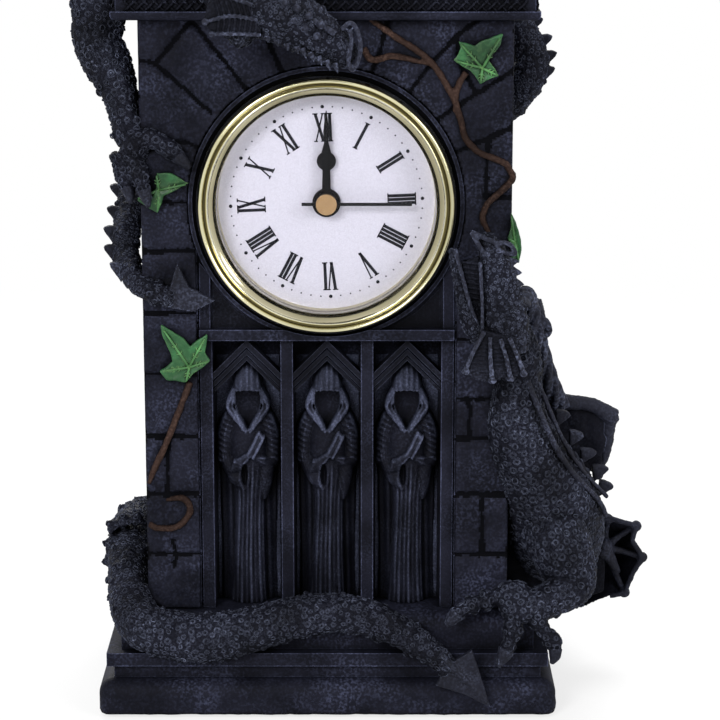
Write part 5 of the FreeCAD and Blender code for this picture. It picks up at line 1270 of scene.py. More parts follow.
def hooded_figure():
    """Cloak, pleated robe, crossed arms with hanging sleeves, and a hood that stands open and empty."""
    carve = Relief()
    x, z = carve.x, carve.z
    # the cloak behind, to the shoulders
    cloak_half = np.interp(z, (0, 14, 30, 36, 44, 48, 50), (7.2, 7.0, 7.2, 7.4, 7.0, 5.0, 0.0))
    side = np.clip(np.abs(x) / np.maximum(cloak_half, 0.01), 0, 1)
    cloak = 1.6 * np.sqrt(1 - side ** 2) + 0.25 * np.sin(x * 2.6 + z * 0.05)
    carve.raise_to(np.where((side < 1) & (z < 50), cloak, 0.0), 0.1)
    # the robe's pleated skirt
    lean = 0.35 * np.sin(z * 0.05)
    skirt_half = np.interp(z, (0, 4, 20, 28, 36, 40), (4.7, 4.4, 3.8, 3.7, 4.6, 4.8))
    across = (x - lean) / skirt_half
    pleats = 0.85 * np.abs(np.sin((x - lean) * 2.6 * (4.3 / skirt_half) + 0.7 * np.sin(z * 0.11))) ** 0.6
    skirt = 3.2 * np.sqrt(np.clip(1 - across ** 2, 0, 1)) + 1.2 + pleats
    carve.raise_to(np.where((np.abs(across) < 1) & (z < 40), skirt, 0.0), 0.1)
    # the trunk and shoulders
    carve.limb([(0.0, 34, 4.6, 1.0), (0.0, 40, 5.4, 1.0), (0.0, 45, 5.0, 1.0), (0.0, 49, 4.0, 1.0)], 0.8)
    for way in (-1, 1):
        carve.limb([(way * 3.4, 50.5, 2.4, 1.0), (way * 5.4, 46.5, 2.4, 1.4), (way * 6.3, 42, 2.2, 1.6),
                    (way * 6.2, 38.6, 2.0, 2.0)], 1.0, 0.05)
    for way, drift in ((-1, 0.0), (-1, 1.3), (1, 0.0), (1, 1.3)):
        carve.cord([(way * (3.0 + drift), 50, 0.2, 0), (way * (4.6 + drift), 45.5, 0.24, 0),
                    (way * (4.9 + drift), 40.5, 0.2, 0)])
    # the forearms in their wide sleeves, and the ribs of the near cuff
    carve.limb([(-5.9, 38.4, 2.2, 1.8), (-4.2, 36.6, 2.1, 3.2), (-1.8, 38.2, 1.6, 4.6),
                (0.2, 40.2, 1.1, 5.3)])
    carve.limb([(6.2, 38.0, 2.1, 1.6), (4.2, 38.0, 1.9, 3.0), (1.8, 39.4, 1.3, 4.4)])
    for step in range(5):
        carve.cord([(-6.6 + 0.75 * step, 40.6 - 0.5 * step, 0.22, 0),
                    (-6.2 + 0.8 * step, 37.8 - 0.4 * step, 0.26, 0),
                    (-5.2 + 0.9 * step, 35.4 - 0.1 * step, 0.22, 0)])
    # the sleeves hang open below the cuffs
    carve.limb([(-4.4, 36.0, 2.0, 2.8), (-2.8, 33.2, 1.9, 3.4), (-1.4, 31.6, 1.1, 3.8)], 0.9)
    carve.limb([(5.0, 38.0, 2.0, 2.4), (4.6, 34.0, 2.0, 2.8), (4.3, 30.6, 1.4, 3.0), (4.1, 28.2, 0.6, 3.2)],
               0.9)
    hollow = ((x + 1.0) / 0.85) ** 2 + ((z - 34.8) / 3.0) ** 2
    carve.depth = np.where(hollow < 1, carve.depth - 1.6 * np.sqrt(np.clip(1 - hollow, 0, 1)), carve.depth)
    carve.cord([(0.3, 39.6, 0.3, 0), (-1.5, 37.0, 0.34, 0), (-2.2, 33.4, 0.36, 0), (-1.2, 30.8, 0.4, 0),
                (0.0, 32.6, 0.34, 0), (0.3, 37.0, 0.3, 0)])
    for end in ((6.9, 39.2), (6.6, 36.6), (5.9, 33.4), (5.1, 30.4), (4.2, 28.0), (3.5, 30.6)):
        middle = (0.5 * (1.2 + end[0]) + 0.3, 0.5 * (39.6 + end[1]) - 0.4)
        carve.cord([(1.2, 39.6, 0.2, 0), (*middle, 0.27, 0), (*end, 0.24, 0)])
    # the hands: a low one, and a raised one with its fingers together
    carve.limb([(-1.6, 38.8, 0.9, 5.4), (0.4, 40.4, 0.8, 6.0), (1.6, 42.0, 0.6, 6.0)], 0.8)
    for finger in range(3):
        reach = 0.66 * finger
        carve.limb([(0.0 + reach, 40.2 - reach * 0.5, 0.42, 6.3),
                    (1.5 + reach, 43.0 - reach * 0.5, 0.42, 6.2),
                    (2.8 + reach * 0.9, 45.8 - reach * 0.9, 0.40, 5.3)], 0.9)
    # the hood over its empty opening, and the rolled lapels
    dome = np.clip(1 - (np.abs(x) / 3.9) ** 2.4 - (np.abs(z - 56.6) / 8.2) ** 2.2, 0, None)
    ridges = 0.22 * np.cos(x * 4.4)
    carve.raise_to(np.where(dome > 0, 6.2 * dome ** 0.45 + ridges + 1.6, 0.0), 0.2)
    for way in (-1, 1):
        carve.limb([(way * 3.1, 57.0, 1.0, 4.4), (way * 4.1, 54.6, 1.1, 4.0), (way * 4.7, 52.6, 1.0, 3.8),
                    (way * 3.4, 50.2, 1.0, 4.0), (way * 2.0, 48.6, 0.9, 4.4), (way * 1.2, 46.8, 0.6, 4.8)],
                   0.7)
    half = np.interp(z, (46.6, 48.0, 50.5, 53.0, 55.5, 57.4), (0.1, 0.9, 2.4, 3.3, 3.2, 2.9))
    share = np.clip(np.abs(x) / half, 0, 1)
    inside = (share < 1) & (z > 46.6) & (z < 57.6 - 0.06 * x ** 2)
    carve.depth = np.where(inside, 0.9 + 0.5 * share ** 2, carve.depth)
    carve.cord([(-3.2, 57.0, 0.36, 0), (-1.6, 57.6, 0.4, 0), (0.0, 57.9, 0.42, 0), (1.6, 57.6, 0.4, 0),
                (3.2, 57.0, 0.36, 0)])
    for way in (-1, 1):
        carve.cord([(way * 3.3, 57.0, 0.32, 0), (way * 4.4, 54.4, 0.38, 0), (way * 5.3, 52.6, 0.4, 0),
                    (way * 3.7, 50.4, 0.38, 0), (way * 3.1, 49.0, 0.36, 0), (way * 1.7, 47.6, 0.34, 0),
                    (way * 0.6, 46.0, 0.32, 0)])
    return carve


FIGURE = hooded_figure()
for side, centre in zip(("left", "middle", "right"), BAY_CENTRES):
    figure = new_object("figure", FIGURE.form(centre), ROBE)
    marks = np.zeros(len(figure.data.vertices))
    marks[:FIGURE.x.size] = FIGURE.crests().ravel()
    figure.data.attributes.new("crest", "FLOAT", "POINT").data.foreach_set("value", marks)
    show(figure, "hooded_figure_" + side, stands_for=["monk_" + side])


# Dragons. Rows hold x, y, z and radius: x and y as shares of the tower's half width and half depth, z of the
# height of the eaves, and the radius of the dragons' girth. The front tail's rows follow the plinth's sizes.

LOWER_BODY_SHARES = (
    (0.96, -1.18, 0.585, 0.40), (1.04, -1.12, 0.535, 0.52), (1.04, -1.06, 0.475, 0.62),
    (1.05, -0.95, 0.415, 0.82), (1.14, -0.80, 0.350, 1.12), (1.24, -0.64, 0.285, 1.34),
    (1.30, -0.40, 0.225, 1.22), (1.30, 0.05, 0.190, 0.94), (1.22, 0.60, 0.180, 0.74),
)
LOWER_TAIL_BACK_SHARES = (
    (1.20, 0.70, 0.178, 0.66), (1.06, 1.10, 0.176, 0.62), (0.50, 1.17, 0.174, 0.58),
    (-0.30, 1.16, 0.176, 0.56), (-0.90, 1.14, 0.182, 0.54), (-1.13, 0.75, 0.195, 0.54),
    (-1.15, 0.15, 0.203, 0.56), (-1.13, -0.45, 0.190, 0.58),
)
LOWER_TAIL_FRONT_SHARES = (
    (-0.86, -0.90, 1.46, 0.60), (-0.66, -1.00, 1.28, 0.62), (-0.46, -1.02, 1.30, 0.60),
    (-0.28, -1.00, 1.44, 0.55), (-0.08, -0.98, 1.60, 0.52), (0.14, -0.98, 1.60, 0.46),
    (0.32, -1.02, 1.38, 0.40), (0.46, -1.07, 1.10, 0.32), (0.56, -1.11, 0.84, 0.22),
)
UPPER_TAIL_SHARES = (
    (0.30, 1.20, 1.090, 0.66), (0.80, 1.34, 1.020, 0.58), (1.12, 1.10, 0.940, 0.52),
    (1.14, 0.96, 0.870, 0.48), (0.80, 1.20, 0.800, 0.46), (0.00, 1.13, 0.770, 0.44),
    (-0.80, 1.13, 0.755, 0.42), (-1.09, 0.80, 0.735, 0.40), (-1.12, 0.00, 0.695, 0.36),
    (-1.11, -0.55, 0.655, 0.33), (-1.00, -1.00, 0.625, 0.29), (-0.82, -1.12, 0.612, 0.22),
)
UPPER_BODY_SHARES = (
    (0.30, 1.20, 1.090, 0.68), (-0.10, 1.10, 1.145, 0.95), (-0.48, 0.72, 1.170, 1.15),
    (-0.70, 0.20, 1.185, 1.20), (-0.74, -0.35, 1.175, 1.05), (-0.66, -0.85, 1.130, 0.80),
    (-0.58, -1.20, 1.080, 0.62), (-0.48, -1.42, 1.025, 0.56), (-0.36, -1.50, 0.988, 0.58),
)
HIND_LEG_SHARES = (
    (1.18, -0.70, 0.300, 0.90), (1.30, -1.00, 0.235, 0.80), (1.36, -1.10, 0.192, 0.56),
    (1.20, -1.24, 0.172, 0.44), (1.02, -1.28, 0.164, 0.44),
)
GRIP_LEG_SHARES = (
    (-0.90, -0.30, 1.180, 0.90), (-1.16, -0.55, 1.060, 0.76), (-1.23, -0.66, 0.965, 0.62),
    (-1.11, -0.80, 0.895, 0.46), (-1.045, -0.98, 0.835, 0.36), (-0.96, -1.08, 0.822, 0.36),
)
# Horns: foot and point, in the same shares, then the foot's share of the girth
UPPER_HORN_SHARES = (
    ((-0.30, -1.48, 1.012), (-0.50, -1.36, 1.090), 0.40),
    ((-0.20, -1.58, 1.010), (-0.38, -1.60, 1.075), 0.36),
)
LOWER_WING_BONES_SHARES = (
    ((1.30, -0.38, 0.430, 0.216), (1.48, -0.34, 0.424, 0.1872), (1.62, -0.30, 0.402, 0.2448)),
    ((1.60, -0.30, 0.405, 0.1872), (1.58, -0.26, 0.350, 0.144), (1.54, -0.24, 0.312, 0.0864)),
    ((1.06, -0.60, 0.460, 0.40), (1.14, -0.50, 0.530, 0.40), (1.12, -0.46, 0.585, 0.34)),
)
LOWER_WING_WEB_SHARES = ((1.06, 0.46), (1.33, 0.43), (1.60, 0.405), (1.54, 0.315), (1.40, 0.33), (1.22, 0.30))
RAISED_WING_BONES_SHARES = (
    ((-0.80, 0.30, 1.200, 0.44), (-0.96, 0.44, 1.290, 0.38), (-1.06, 0.50, 1.370, 0.32)),
    ((-1.05, 0.50, 1.365, 0.28), (-1.30, 0.50, 1.320, 0.22), (-1.52, 0.50, 1.250, 0.12)),
    ((-1.04, 0.50, 1.360, 0.28), (-1.24, 0.50, 1.250, 0.20), (-1.42, 0.50, 1.130, 0.12)),
    ((-1.03, 0.50, 1.360, 0.28), (-1.10, 0.50, 1.230, 0.20), (-1.20, 0.50, 1.090, 0.12)),
)
RAISED_WING_WEB_SHARES = (
    (-0.80, 1.20), (-1.05, 1.36), (-1.50, 1.252), (-1.40, 1.20), (-1.41, 1.136), (-1.27, 1.13),
    (-1.20, 1.096), (-1.00, 1.12), (-0.80, 1.14),
)
FAR_WING_BONES_SHARES = (
    ((-0.34, 0.98, 1.180, 0.44), (-0.10, 1.04, 1.280, 0.38), (0.12, 1.06, 1.370, 0.32)),
    ((0.10, 1.06, 1.366, 0.28), (0.42, 1.06, 1.330, 0.22), (0.74, 1.06, 1.270, 0.12)),
    ((0.10, 1.06, 1.362, 0.28), (0.40, 1.06, 1.270, 0.20), (0.68, 1.06, 1.170, 0.12)),
    ((0.09, 1.06, 1.360, 0.28), (0.24, 1.06, 1.240, 0.20), (0.40, 1.06, 1.150, 0.12)),
)
FAR_WING_WEB_SHARES = (
    (-0.30, 1.18), (0.10, 1.362), (0.73, 1.27), (0.62, 1.225), (0.67, 1.173), (0.50, 1.18), (0.40, 1.153),
    (0.20, 1.16), (0.00, 1.16),
)
UPPER_BLADE_SHARES = ((-0.86, 0.612), (-0.80, 0.662), (-0.74, 0.628), (-0.60, 0.608), (-0.72, 0.592),
                      (-0.89, 0.600))
LOWER_BLADE_SHARES = ((0.53, 0.90), (0.65, 1.16), (0.70, 0.66), (0.735, 0.26), (0.62, 0.46), (0.49, 0.60))
BLADE_Y_SHARE = -1.12


def at(shares, sizes=TOWER_SIZES):
    return tuple(share * size for share, size in zip(shares, sizes))


def route(rows, sizes=TOWER_SIZES):
    return [(*at(row, sizes), row[3] * GIRTH) for row in rows]


def web(corners, y, thickness=1.3):
    return plate([(x * TOWER_HALF_W, z * EAVE_Z) for x, z in corners], y - thickness / 2, y + thickness / 2)


def pixel_rows(line, y):
    """Rows of x, y, z and radius from the photograph's columns and rows, and radii, on one depth."""
    return [(*at_pixel(column, row, y), radius) for column, row, radius in line]


def cord(pixels, y, radius, sides, per_span):
    """A round cord of one thickness through the photograph's pixels, on one depth."""
    return tube([(*at_pixel(*pixel, y), radius) for pixel in pixels], sides, per_span)


def knobs(rows, count, size, seed):
    """Lumps of mixed sizes over a limb, half sunk in it."""
    middles, radii, side, other = frames(rows, 6)
    chance = np.random.default_rng(seed)
    forms = []
    for _ in range(count):
        spot = chance.integers(1, len(middles) - 1)
        angle, radius = chance.uniform(0, TURN), size * chance.uniform(0.5, 1.0)
        out = radii[spot] * (math.cos(angle) * side[spot] + math.sin(angle) * other[spot])
        forms.append(ball(middles[spot] + out, (radius, radius, radius), 5, 8))
    return forms


def pixel_horns(spots, width):
    return [horn(at_pixel(*foot, y), at_pixel(*tip, y), width, 12) for foot, tip, y in spots]


BASE_TAIL_KNOBS = (((113, 527), (105, 521), -8), ((112, 545), (102, 542), -10), ((112, 562), (100, 561), -12),
                   ((113, 580), (104, 582), -14), ((117, 598), (109, 602), -16), ((124, 522), (120, 512), -8),
                   ((136, 520), (137, 511), -8))


def scaled(limbs, ring, seed, trim=(), voxel=0.55, depth=0.25):
    """A cast limb under ring scales, with its smooth horns, claws and fins."""
    skin = cast("skin", limbs, HIDE, voxel, 2, depth, 330.0)
    run_tree(skin, RING_SCALES, Material=RINGS, Seed=seed, **{
        "Ring Width": ring * MM, "Ring Thickness": ring * 0.22 * MM, "Spacing": ring * 0.92 * MM,
        "Bead Width": ring * 0.40 * MM})
    if not trim:
        return skin
    return merged("skin", skin, cast("trim", trim, HORN, 0.32, 1, 0.12, 700.0))


def winged(bones, corners, y, arm=()):
    """A wing: round fingers over a thin web in shade paint, its darkness painted shade, and a wound arm given
    as lines, turns, joints and radii.
    """
    fingers = [tube(route(bone), 12, 6) for bone in bones]
    fingers += [ball(at(bone[-1]), (1.5, 1.5, 1.5)) for bone in bones]
    # The web is cast in shade paint: its darkness is painted shade for the hollow under the fingers.
    parts = [cast("fingers", fingers, HORN, 0.36, 2, 0.22, 520.0, 0.6),
             cast("web", [web(corners, y)], SHADE, 0.42, 3, 0.45, 260.0, 0.4)]
    wound = []
    for line, turns, joint, radii in arm:
        rows = [(*at_pixel(column, row, depth), radius) for column, row, depth, radius in line]
        wound += rope(rows, turns)
        wound.append(ball(rows[joint][:3], radii))
    if wound:
        parts.append(cast("arm", wound, SINEW, 0.26, 1, 0.12, 700.0))
    return merged("wing", *parts)


def toe_rows(pixels, depths, radii, proud=0.0, thicker=0.0):
    rows = []
    for step, (pixel, radius) in enumerate(zip(pixels, radii)):
        share = step / (len(pixels) - 1)
        rows.append((*at_pixel(*pixel, depths[0] + (depths[1] - depths[0]) * share - proud),
                     radius + thicker))
    return rows


def toes(lines):
    """Knuckled toes that end in their claws."""
    return [tube(toe_rows(*line), 14, 4) for line in lines]


def claws(lines):
    """The smooth claws on the ends of toes."""
    return [tube(toe_rows(*line, 0.2, 0.25)[-3:], 12, 5) for line in lines]


HIND_TOES = (
    (((505, 596), (492, 598), (486, 600), (479, 602), (472, 605), (465, 608), (458, 613), (451, 621),
      (447, 626)),
     (-39.5, -42.0), (3.0, 1.9, 2.9, 1.6, 2.6, 1.5, 2.0, 1.1, 0.3)),
    (((508, 598), (512, 610), (512, 620), (513, 630), (511, 640), (507, 650), (502, 660), (499, 667)),
     (-40.5, -44.5), (2.9, 2.9, 1.9, 2.8, 1.7, 2.1, 1.2, 0.3)),
    (((522, 598), (531, 609), (538, 620), (545, 631), (552, 640), (556, 648), (555, 657), (552, 664)),
     (-40.0, -43.5), (2.8, 2.0, 2.7, 1.7, 2.5, 1.6, 1.2, 0.3)),
)
GRIP_TOES = (
    (((126, 140), (142, 138), (152, 139), (162, 143), (171, 149), (179, 156), (186, 163), (191, 169)),
     (-32.5, -35.0), (2.7, 2.2, 2.6, 2.1, 2.4, 1.7, 1.1, 0.3)),
    (((126, 148), (134, 160), (139, 170), (142, 180), (145, 190), (148, 199), (150, 208)),
     (-32.5, -35.5), (2.7, 2.2, 2.5, 2.0, 1.7, 1.1, 0.3)),
    (((120, 152), (123, 166), (126, 177), (129, 187), (131, 196), (132, 204)),
     (-30.5, -33.5), (2.6, 2.2, 2.4, 1.8, 1.1, 0.3)),
)
# The wound arm's column, row, depth and radius: its main line and its spur, each with its turns and its joint
ARM_LINE = ((511, 312, -35.0, 2.6), (518, 302, -28.0, 2.7), (526, 298, -21.5, 2.8), (528, 304, -20.0, 2.8),
            (531, 316, -20.5, 2.9), (536, 340, -20.5, 3.0), (543, 366, -20.0, 3.0), (552, 390, -18.5, 2.8),
            (561, 406, -13.5, 2.4))
ARM_SPUR = ((537, 318, -20.0, 1.7), (545, 324, -20.0, 1.5), (549, 331, -19.5, 1.0), (546, 338, -19.5, 0.5))
ARM = ((ARM_LINE, 2.4, 2, (2.9, 2.9, 3.2)), (ARM_SPUR, 0.6, 0, (1.6, 1.6, 1.6)))
SPINE_LINE = ((528, 380, -38.0), (541, 412, -37.0), (556, 446, -34.0), (574, 474, -30.0), (598, 500, -25.0),
              (606, 516, -22.0))


def fin(foot, tip, half, y, thickness):
    """A broad fin that hooks upwards: its foot's middle and its tip as (x, z), and half the foot's length."""
    foot, tip = np.array(foot, float), np.array(tip, float)
    out = tip - foot
    up = np.array((-out[1], out[0])) / np.linalg.norm(out) * (1 if out[0] > 0 else -1) * half
    corners = (foot + up, foot + 0.40 * out + up * 0.92, foot + 0.78 * out + up * 0.70, tip + up * 0.30,
               foot + 0.85 * out - up * 0.02, foot + 0.60 * out - up * 0.28, foot + 0.30 * out - up * 0.62,
               foot - up)
    return plate([tuple(corner) for corner in corners], y - thickness / 2, y + thickness / 2)


def fins_along(rows, spots, way):
    """Fins on the outer side of a limb, at chosen places of its smooth line."""
    line = smooth_line(rows, 6)
    fins = []
    for spot in spots:
        x, y, z, radius = line[spot]
        fins.append(fin((x + way * 0.5 * radius, z - 0.4), (x + way * (radius + 2.7), z + 1.6), 2.5, y, 2.2))
    return fins


FIN_SPOTS = (((556, 418), (571, 417), -24.0), ((569, 438), (584, 438), -22.0),
             ((580, 456), (597, 455), -20.0), ((592, 473), (609, 471), -18.0),
             ((598, 488), (613, 489), -17.0))
HAUNCH_SHADOW = ((500, 530), (604, 540), (603, 590), (560, 606), (505, 600))
HAUNCH_SHADOW_Y = -6.0
LOWER_WEB_Y = -9.2
HIND_FOOT, HIND_FOOT_Y = (514, 594), -39.0
BLADE_RIDGE = ((440, 655, 1.2), (462, 676, 0.9), (487, 702, 0.3))


def lower_dragon():
    """Body with its fins, hind leg, tail round the plinth, and both wings."""
    fins = [fin(on_plane(*foot, y), on_plane(*tip, y), 2.3, y, 2.2) for foot, tip, y in FIN_SPOTS]
    fins.append(tube([(*at_pixel(u, v, y - 1.0), 0.75) for u, v, y in SPINE_LINE], 10, 6))
    fins.append(tube([(*at_pixel(u + 9, v - 3, y + 3.0), 0.6) for u, v, y in SPINE_LINE[:-1]], 10, 6))
    rows = route(LOWER_BODY_SHARES)
    body = scaled([tube(rows, 32, 8)] + knobs(rows, 150, 1.0, 5), 2.1, 11, fins)
    # A plate in shade paint: a painted shadow that fills the gap between the haunch and the leg.
    shadow = plate([on_plane(*pixel, HAUNCH_SHADOW_Y) for pixel in HAUNCH_SHADOW], HAUNCH_SHADOW_Y - 1.0,
                   HAUNCH_SHADOW_Y + 1.0)
    show(merged("body", body, cast("web", [shadow], SHADE, 0.5, 2, 0.4, 260.0)), "lower_dragon_hide",
         stands_for=["lower_dragon_body"])
    rows = route(HIND_LEG_SHARES)
    foot = toes(HIND_TOES) + [ball(at_pixel(*HIND_FOOT, HIND_FOOT_Y), (4.4, 3.6, 3.6))]
    leg = scaled([tube(rows, 28, 8)] + knobs(rows, 60, 1.0, 6) + foot, 1.9, 12, claws(HIND_TOES), 0.45)
    show(leg, "lower_dragon_hind_leg", stands_for=["lower_dragon_leg"])
    rows = route(LOWER_TAIL_BACK_SHARES) + route(LOWER_TAIL_FRONT_SHARES, PLINTH_SIZES)
    y = BLADE_Y_SHARE * PLINTH_HALF_D
    blade = plate([(x * PLINTH_HALF_W, z * SLAB_TOP_Z) for x, z in LOWER_BLADE_SHARES], y - 0.8, y + 0.8)
    ridge = tube(pixel_rows(BLADE_RIDGE, y - 0.9), 8, 4)
    limbs = [tube(rows, 24, 6), ball(rows[0][:3], (6.9, 6.9, 6.9))]
    tail = scaled(limbs + knobs(rows, 260, 1.15, 7) + pixel_horns(BASE_TAIL_KNOBS, 4.6), 1.6, 13,
                  [blade, ridge])
    show(tail, "lower_dragon_tail_hide", stands_for=["lower_dragon_tail"])
    show(winged(LOWER_WING_BONES_SHARES, LOWER_WING_WEB_SHARES, LOWER_WEB_Y, ARM), "lower_dragon_near_wing",
         stands_for=["lower_dragon_wing"])
    cupped_wing()


CUP_RIM = ((584, 523), (608, 518), (635, 526), (631, 541), (642, 557), (632, 572), (623, 593), (608, 596),
           (580, 608), (556, 604), (572, 588), (590, 570), (588, 545))
CUP_TIPS = ((635, 526), (641, 557), (623, 592), (607, 519))
CUP_ARM_SHARES = ((1.24, 0.10, 0.190, 0.50), (1.42, 0.02, 0.186, 0.44), (1.58, -0.10, 0.184, 0.34))
CUP_REACH = 84.2
CUP_RIM_Y, CUP_TIP_Y = -5.0, -4.2
CUP_HUB, CUP_HUB_Y = (608, 556), 5.0
# the cup's knuckle is the second of these rows of column, row, depth and radius
KNUCKLE_LINE = ((596, 540, -4.0, 1.6), (603, 549, -5.5, 2.0), (612, 563, -6.0, 1.3), (618, 572, -5.0, 0.5))


def cupped_wing():
    """The small wing by the foot: a hollow skin stretched from a knuckle to its knobbed tips."""
    hub = np.array(at_pixel(*CUP_HUB, CUP_HUB_Y))
    rim = [np.array(at_pixel(*pixel, CUP_RIM_Y)) for pixel in CUP_RIM]
    count = len(rim)
    back = np.array((0.0, 1.6, 0.0))
    points = [hub] + rim + [hub + back] + [corner + back for corner in rim]
    faces = []
    for corner in range(count):
        after = (corner + 1) % count
        faces += [(0, 1 + corner, 1 + after), (count + 1, count + 2 + after, count + 2 + corner),
                  (1 + after, 1 + corner, count + 2 + corner, count + 2 + after)]
    # The skin is in shade paint: painted shade for the hollow of the cup.
    skin = cast("skin", [(points, faces)], SHADE, 0.4, 4, 0.3, 260.0, 0.4)
    knuckle = at_pixel(*KNUCKLE_LINE[1][:3])
    forms = [ball(knuckle, (2.6, 2.4, 3.0)),
             tube([(*at_pixel(*row[:3]), row[3]) for row in KNUCKLE_LINE], 12, 4)]
    for pixel in CUP_TIPS:
        tip = np.array(at_pixel(*pixel, CUP_TIP_Y))
        tip[0] = min(tip[0], CUP_REACH)
        bend = 0.5 * tip + 0.5 * np.array(knuckle) + (0, 1.8, 0)
        forms += [tube([(*knuckle, 1.2), (*bend, 0.9), (*tip, 0.9)], 10, 5), ball(tip, (1.5, 1.5, 1.5))]
    forms.append(tube(route(CUP_ARM_SHARES), 14, 4))
    forms += [cord(ends, CUP_RIM_Y, 0.75, 8, 2) for ends in zip(CUP_RIM[:7], CUP_RIM[1:8])]
    bones = cast("bones", forms, HORN, 0.34, 2, 0.15, 600.0)
    show(merged("cup", bones, skin), "lower_dragon_far_wing",
         stands_for=["lower_dragon_second_wing"])


NECK_LINE = ((508, 352, 5.4), (506, 330, 6.0), (503, 306, 5.6), (499, 280, 4.7), (495, 258, 3.7),
             (489, 243, 2.4), (484, 236, 1.2))
JAW_LINE = ((492, 338, 4.2), (476, 325, 3.2), (467, 303, 2.2), (461, 280, 1.5), (456, 262, 1.1),
            (453, 249, 0.6))
NOSE_CURLS = (((473, 232), (480, 244), (486, 253), (494, 255), (500, 250), (497, 243), (488, 239), (480, 235),
               (473, 232)),
              ((500, 250), (508, 253), (517, 254), (513, 246), (506, 243), (497, 243)))
RUFF_SPINES = (((486, 332), (474, 354), (467, 371)), ((492, 337), (492, 358), (494, 380)),
               ((502, 339), (508, 358), (512, 378)), ((511, 338), (519, 356), (525, 373)))
RUFF_TIPS = ((467, 372), (494, 381), (512, 379), (525, 374))
RUFF_SKIN = ((484, 330), (466, 374), (478, 380), (494, 383), (503, 377), (512, 381), (519, 372), (526, 374),
             (518, 338))
RUFF_TOP, RUFF_RIB_ROWS, RUFF_RIB_COLUMNS = 330, range(342, 374, 4), (484, 500, 515)
MOUTH_SKIN = ((463, 264), (480, 256), (492, 300), (488, 330), (476, 326))
MOUTH_TOP, MOUTH_LEFT, MOUTH_RIGHT = 262, 463, 486
MOUTH_RIB_ROWS = range(MOUTH_TOP, 328, 5)
THROAT_LIP = ((484, 336), (484, 310), (483, 285), (482, 262))
NAPE_SPIKES = (((512, 262), (521, 261)), ((515, 272), (524, 273)), ((517, 283), (526, 285)),
               ((518, 294), (527, 297)), ((520, 306), (529, 310)))
LOWER_HEAD_Y, UPPER_HEAD_Y = -41.0, -46.5


def finished_head(name, node, skull, trim, skins):
    """Joins a head's scaled skull, its smooth trim and its ribbed skins."""
    smooth = cast("trim", trim, SINEW, 0.26, 1, 0.08, 700.0)
    ribbed = recast(new_object("skins", joined(skins), MEMBRANE), 0.26, 1)
    show(merged("skull", skull, smooth, ribbed), name, stands_for=[node])


def lower_head():
    """The open-mouthed head that looks up: jaws, ribbed mouth skin, nose curls, and the ruff behind."""
    y = LOWER_HEAD_Y
    line = pixel_rows(NECK_LINE, y)
    limbs = [tube(line, 24, 6), tube(pixel_rows(JAW_LINE, y - 0.6), 18, 6)]
    skull = scaled(limbs + knobs(line, 170, 0.75, 12), 0.95, 21, voxel=0.36)
    mouth = [on_plane(*pixel, y) for pixel in MOUTH_SKIN]
    trim, skins = [], [plate(mouth, y - 1.2, y + 1.2)]
    for row in MOUTH_RIB_ROWS:
        left = at_pixel(MOUTH_LEFT + (row - MOUTH_TOP) * 0.2, row, y - 1.5)
        right = at_pixel(MOUTH_RIGHT, row + 3, y - 1.5)
        skins.append(tube([(*left, 0.34), (*right, 0.34)], 6, 2))
    # smooth lips along the jaws
    trim.append(cord([(column + 4, row) for column, row, _ in JAW_LINE[1:]], y - 3.0, 0.55, 8, 5))
    trim.append(cord(THROAT_LIP, y - 4.2, 0.5, 8, 5))
    trim += [cord(loop, y - 2.6, 0.62, 10, 4) for loop in NOSE_CURLS]
    for foot, tip in NAPE_SPIKES:
        trim.append(horn(at_pixel(*foot, y + 1), at_pixel(*tip, y + 1), 2.6))
    # the ruff: spines with ribbed skin between them
    for line in RUFF_SPINES:
        trim.append(tube([(*at_pixel(*pixel, y - depth), radius) for pixel, radius, depth in
                          zip(line, (0.62, 0.56, 0.70), (6.7, 7.6, 6.8))], 10, 4))
    trim += [ball(at_pixel(*pixel, y - 6.6), (1.1, 0.8, 0.8), 6, 10) for pixel in RUFF_TIPS]
    skins.append(plate([on_plane(*pixel, y - 6.0) for pixel in RUFF_SKIN], y - 6.4, y - 5.0))
    left, middle, right = RUFF_RIB_COLUMNS
    for row in RUFF_RIB_ROWS:
        wide = (row - RUFF_TOP) * 0.55
        skins.append(tube([(*at_pixel(left - wide, row, y - 6.5), 0.32),
                           (*at_pixel(middle, row + 2, y - 6.6), 0.34),
                           (*at_pixel(right + wide * 0.25, row, y - 6.5), 0.32)], 6, 3))
    finished_head("lower_dragon_skull", "lower_dragon_head", skull, trim, skins)


SNOUT_LINE = ((252, 0, 6.0), (268, 7, 7.2), (292, 18, 7.0), (316, 32, 5.8), (334, 44, 4.6), (348, 54, 3.4),
              (356, 60, 1.8))
FRILL_SKIN = ((264, 36), (218, 35), (206, 24), (210, 4), (224, -8), (262, -6))
FRILL_SPINES = (((264, 35), (240, 34), (215, 34)), ((261, 20), (234, 16), (208, 22)),
                ((258, 6), (234, -2), (212, -6)))
UPPER_NOSE_CURL = ((344, 30), (352, 23), (358, 27), (362, 38), (363, 50), (360, 62), (355, 70), (351, 62),
                   (353, 50), (354, 38), (352, 29))
UPPER_TEETH = ((306, 50), (314, 54), (322, 58), (330, 62), (338, 65))
UPPER_BACK_TEETH = ((270, 36), (280, 40), (290, 44), (300, 47))
BROW_LINE = ((272, 2), (292, 8), (314, 20), (338, 34))
FRILL_RIBS, FRILL_RIB_COLUMN, FRILL_RIB_STEP = 8, 220, 5.4
# the frill's ribs: a shift in columns, a row, a depth before the head's plane, and a radius
FRILL_RIB = ((-3, -2, 6.2, 0.36), (2, 16, 6.3, 0.38), (0, 34, 6.2, 0.36))
BROW_KNOBS = ((276, -2), (288, 3), (300, 9), (312, 16), (324, 25), (284, 14), (296, 20), (308, 28), (320, 36))


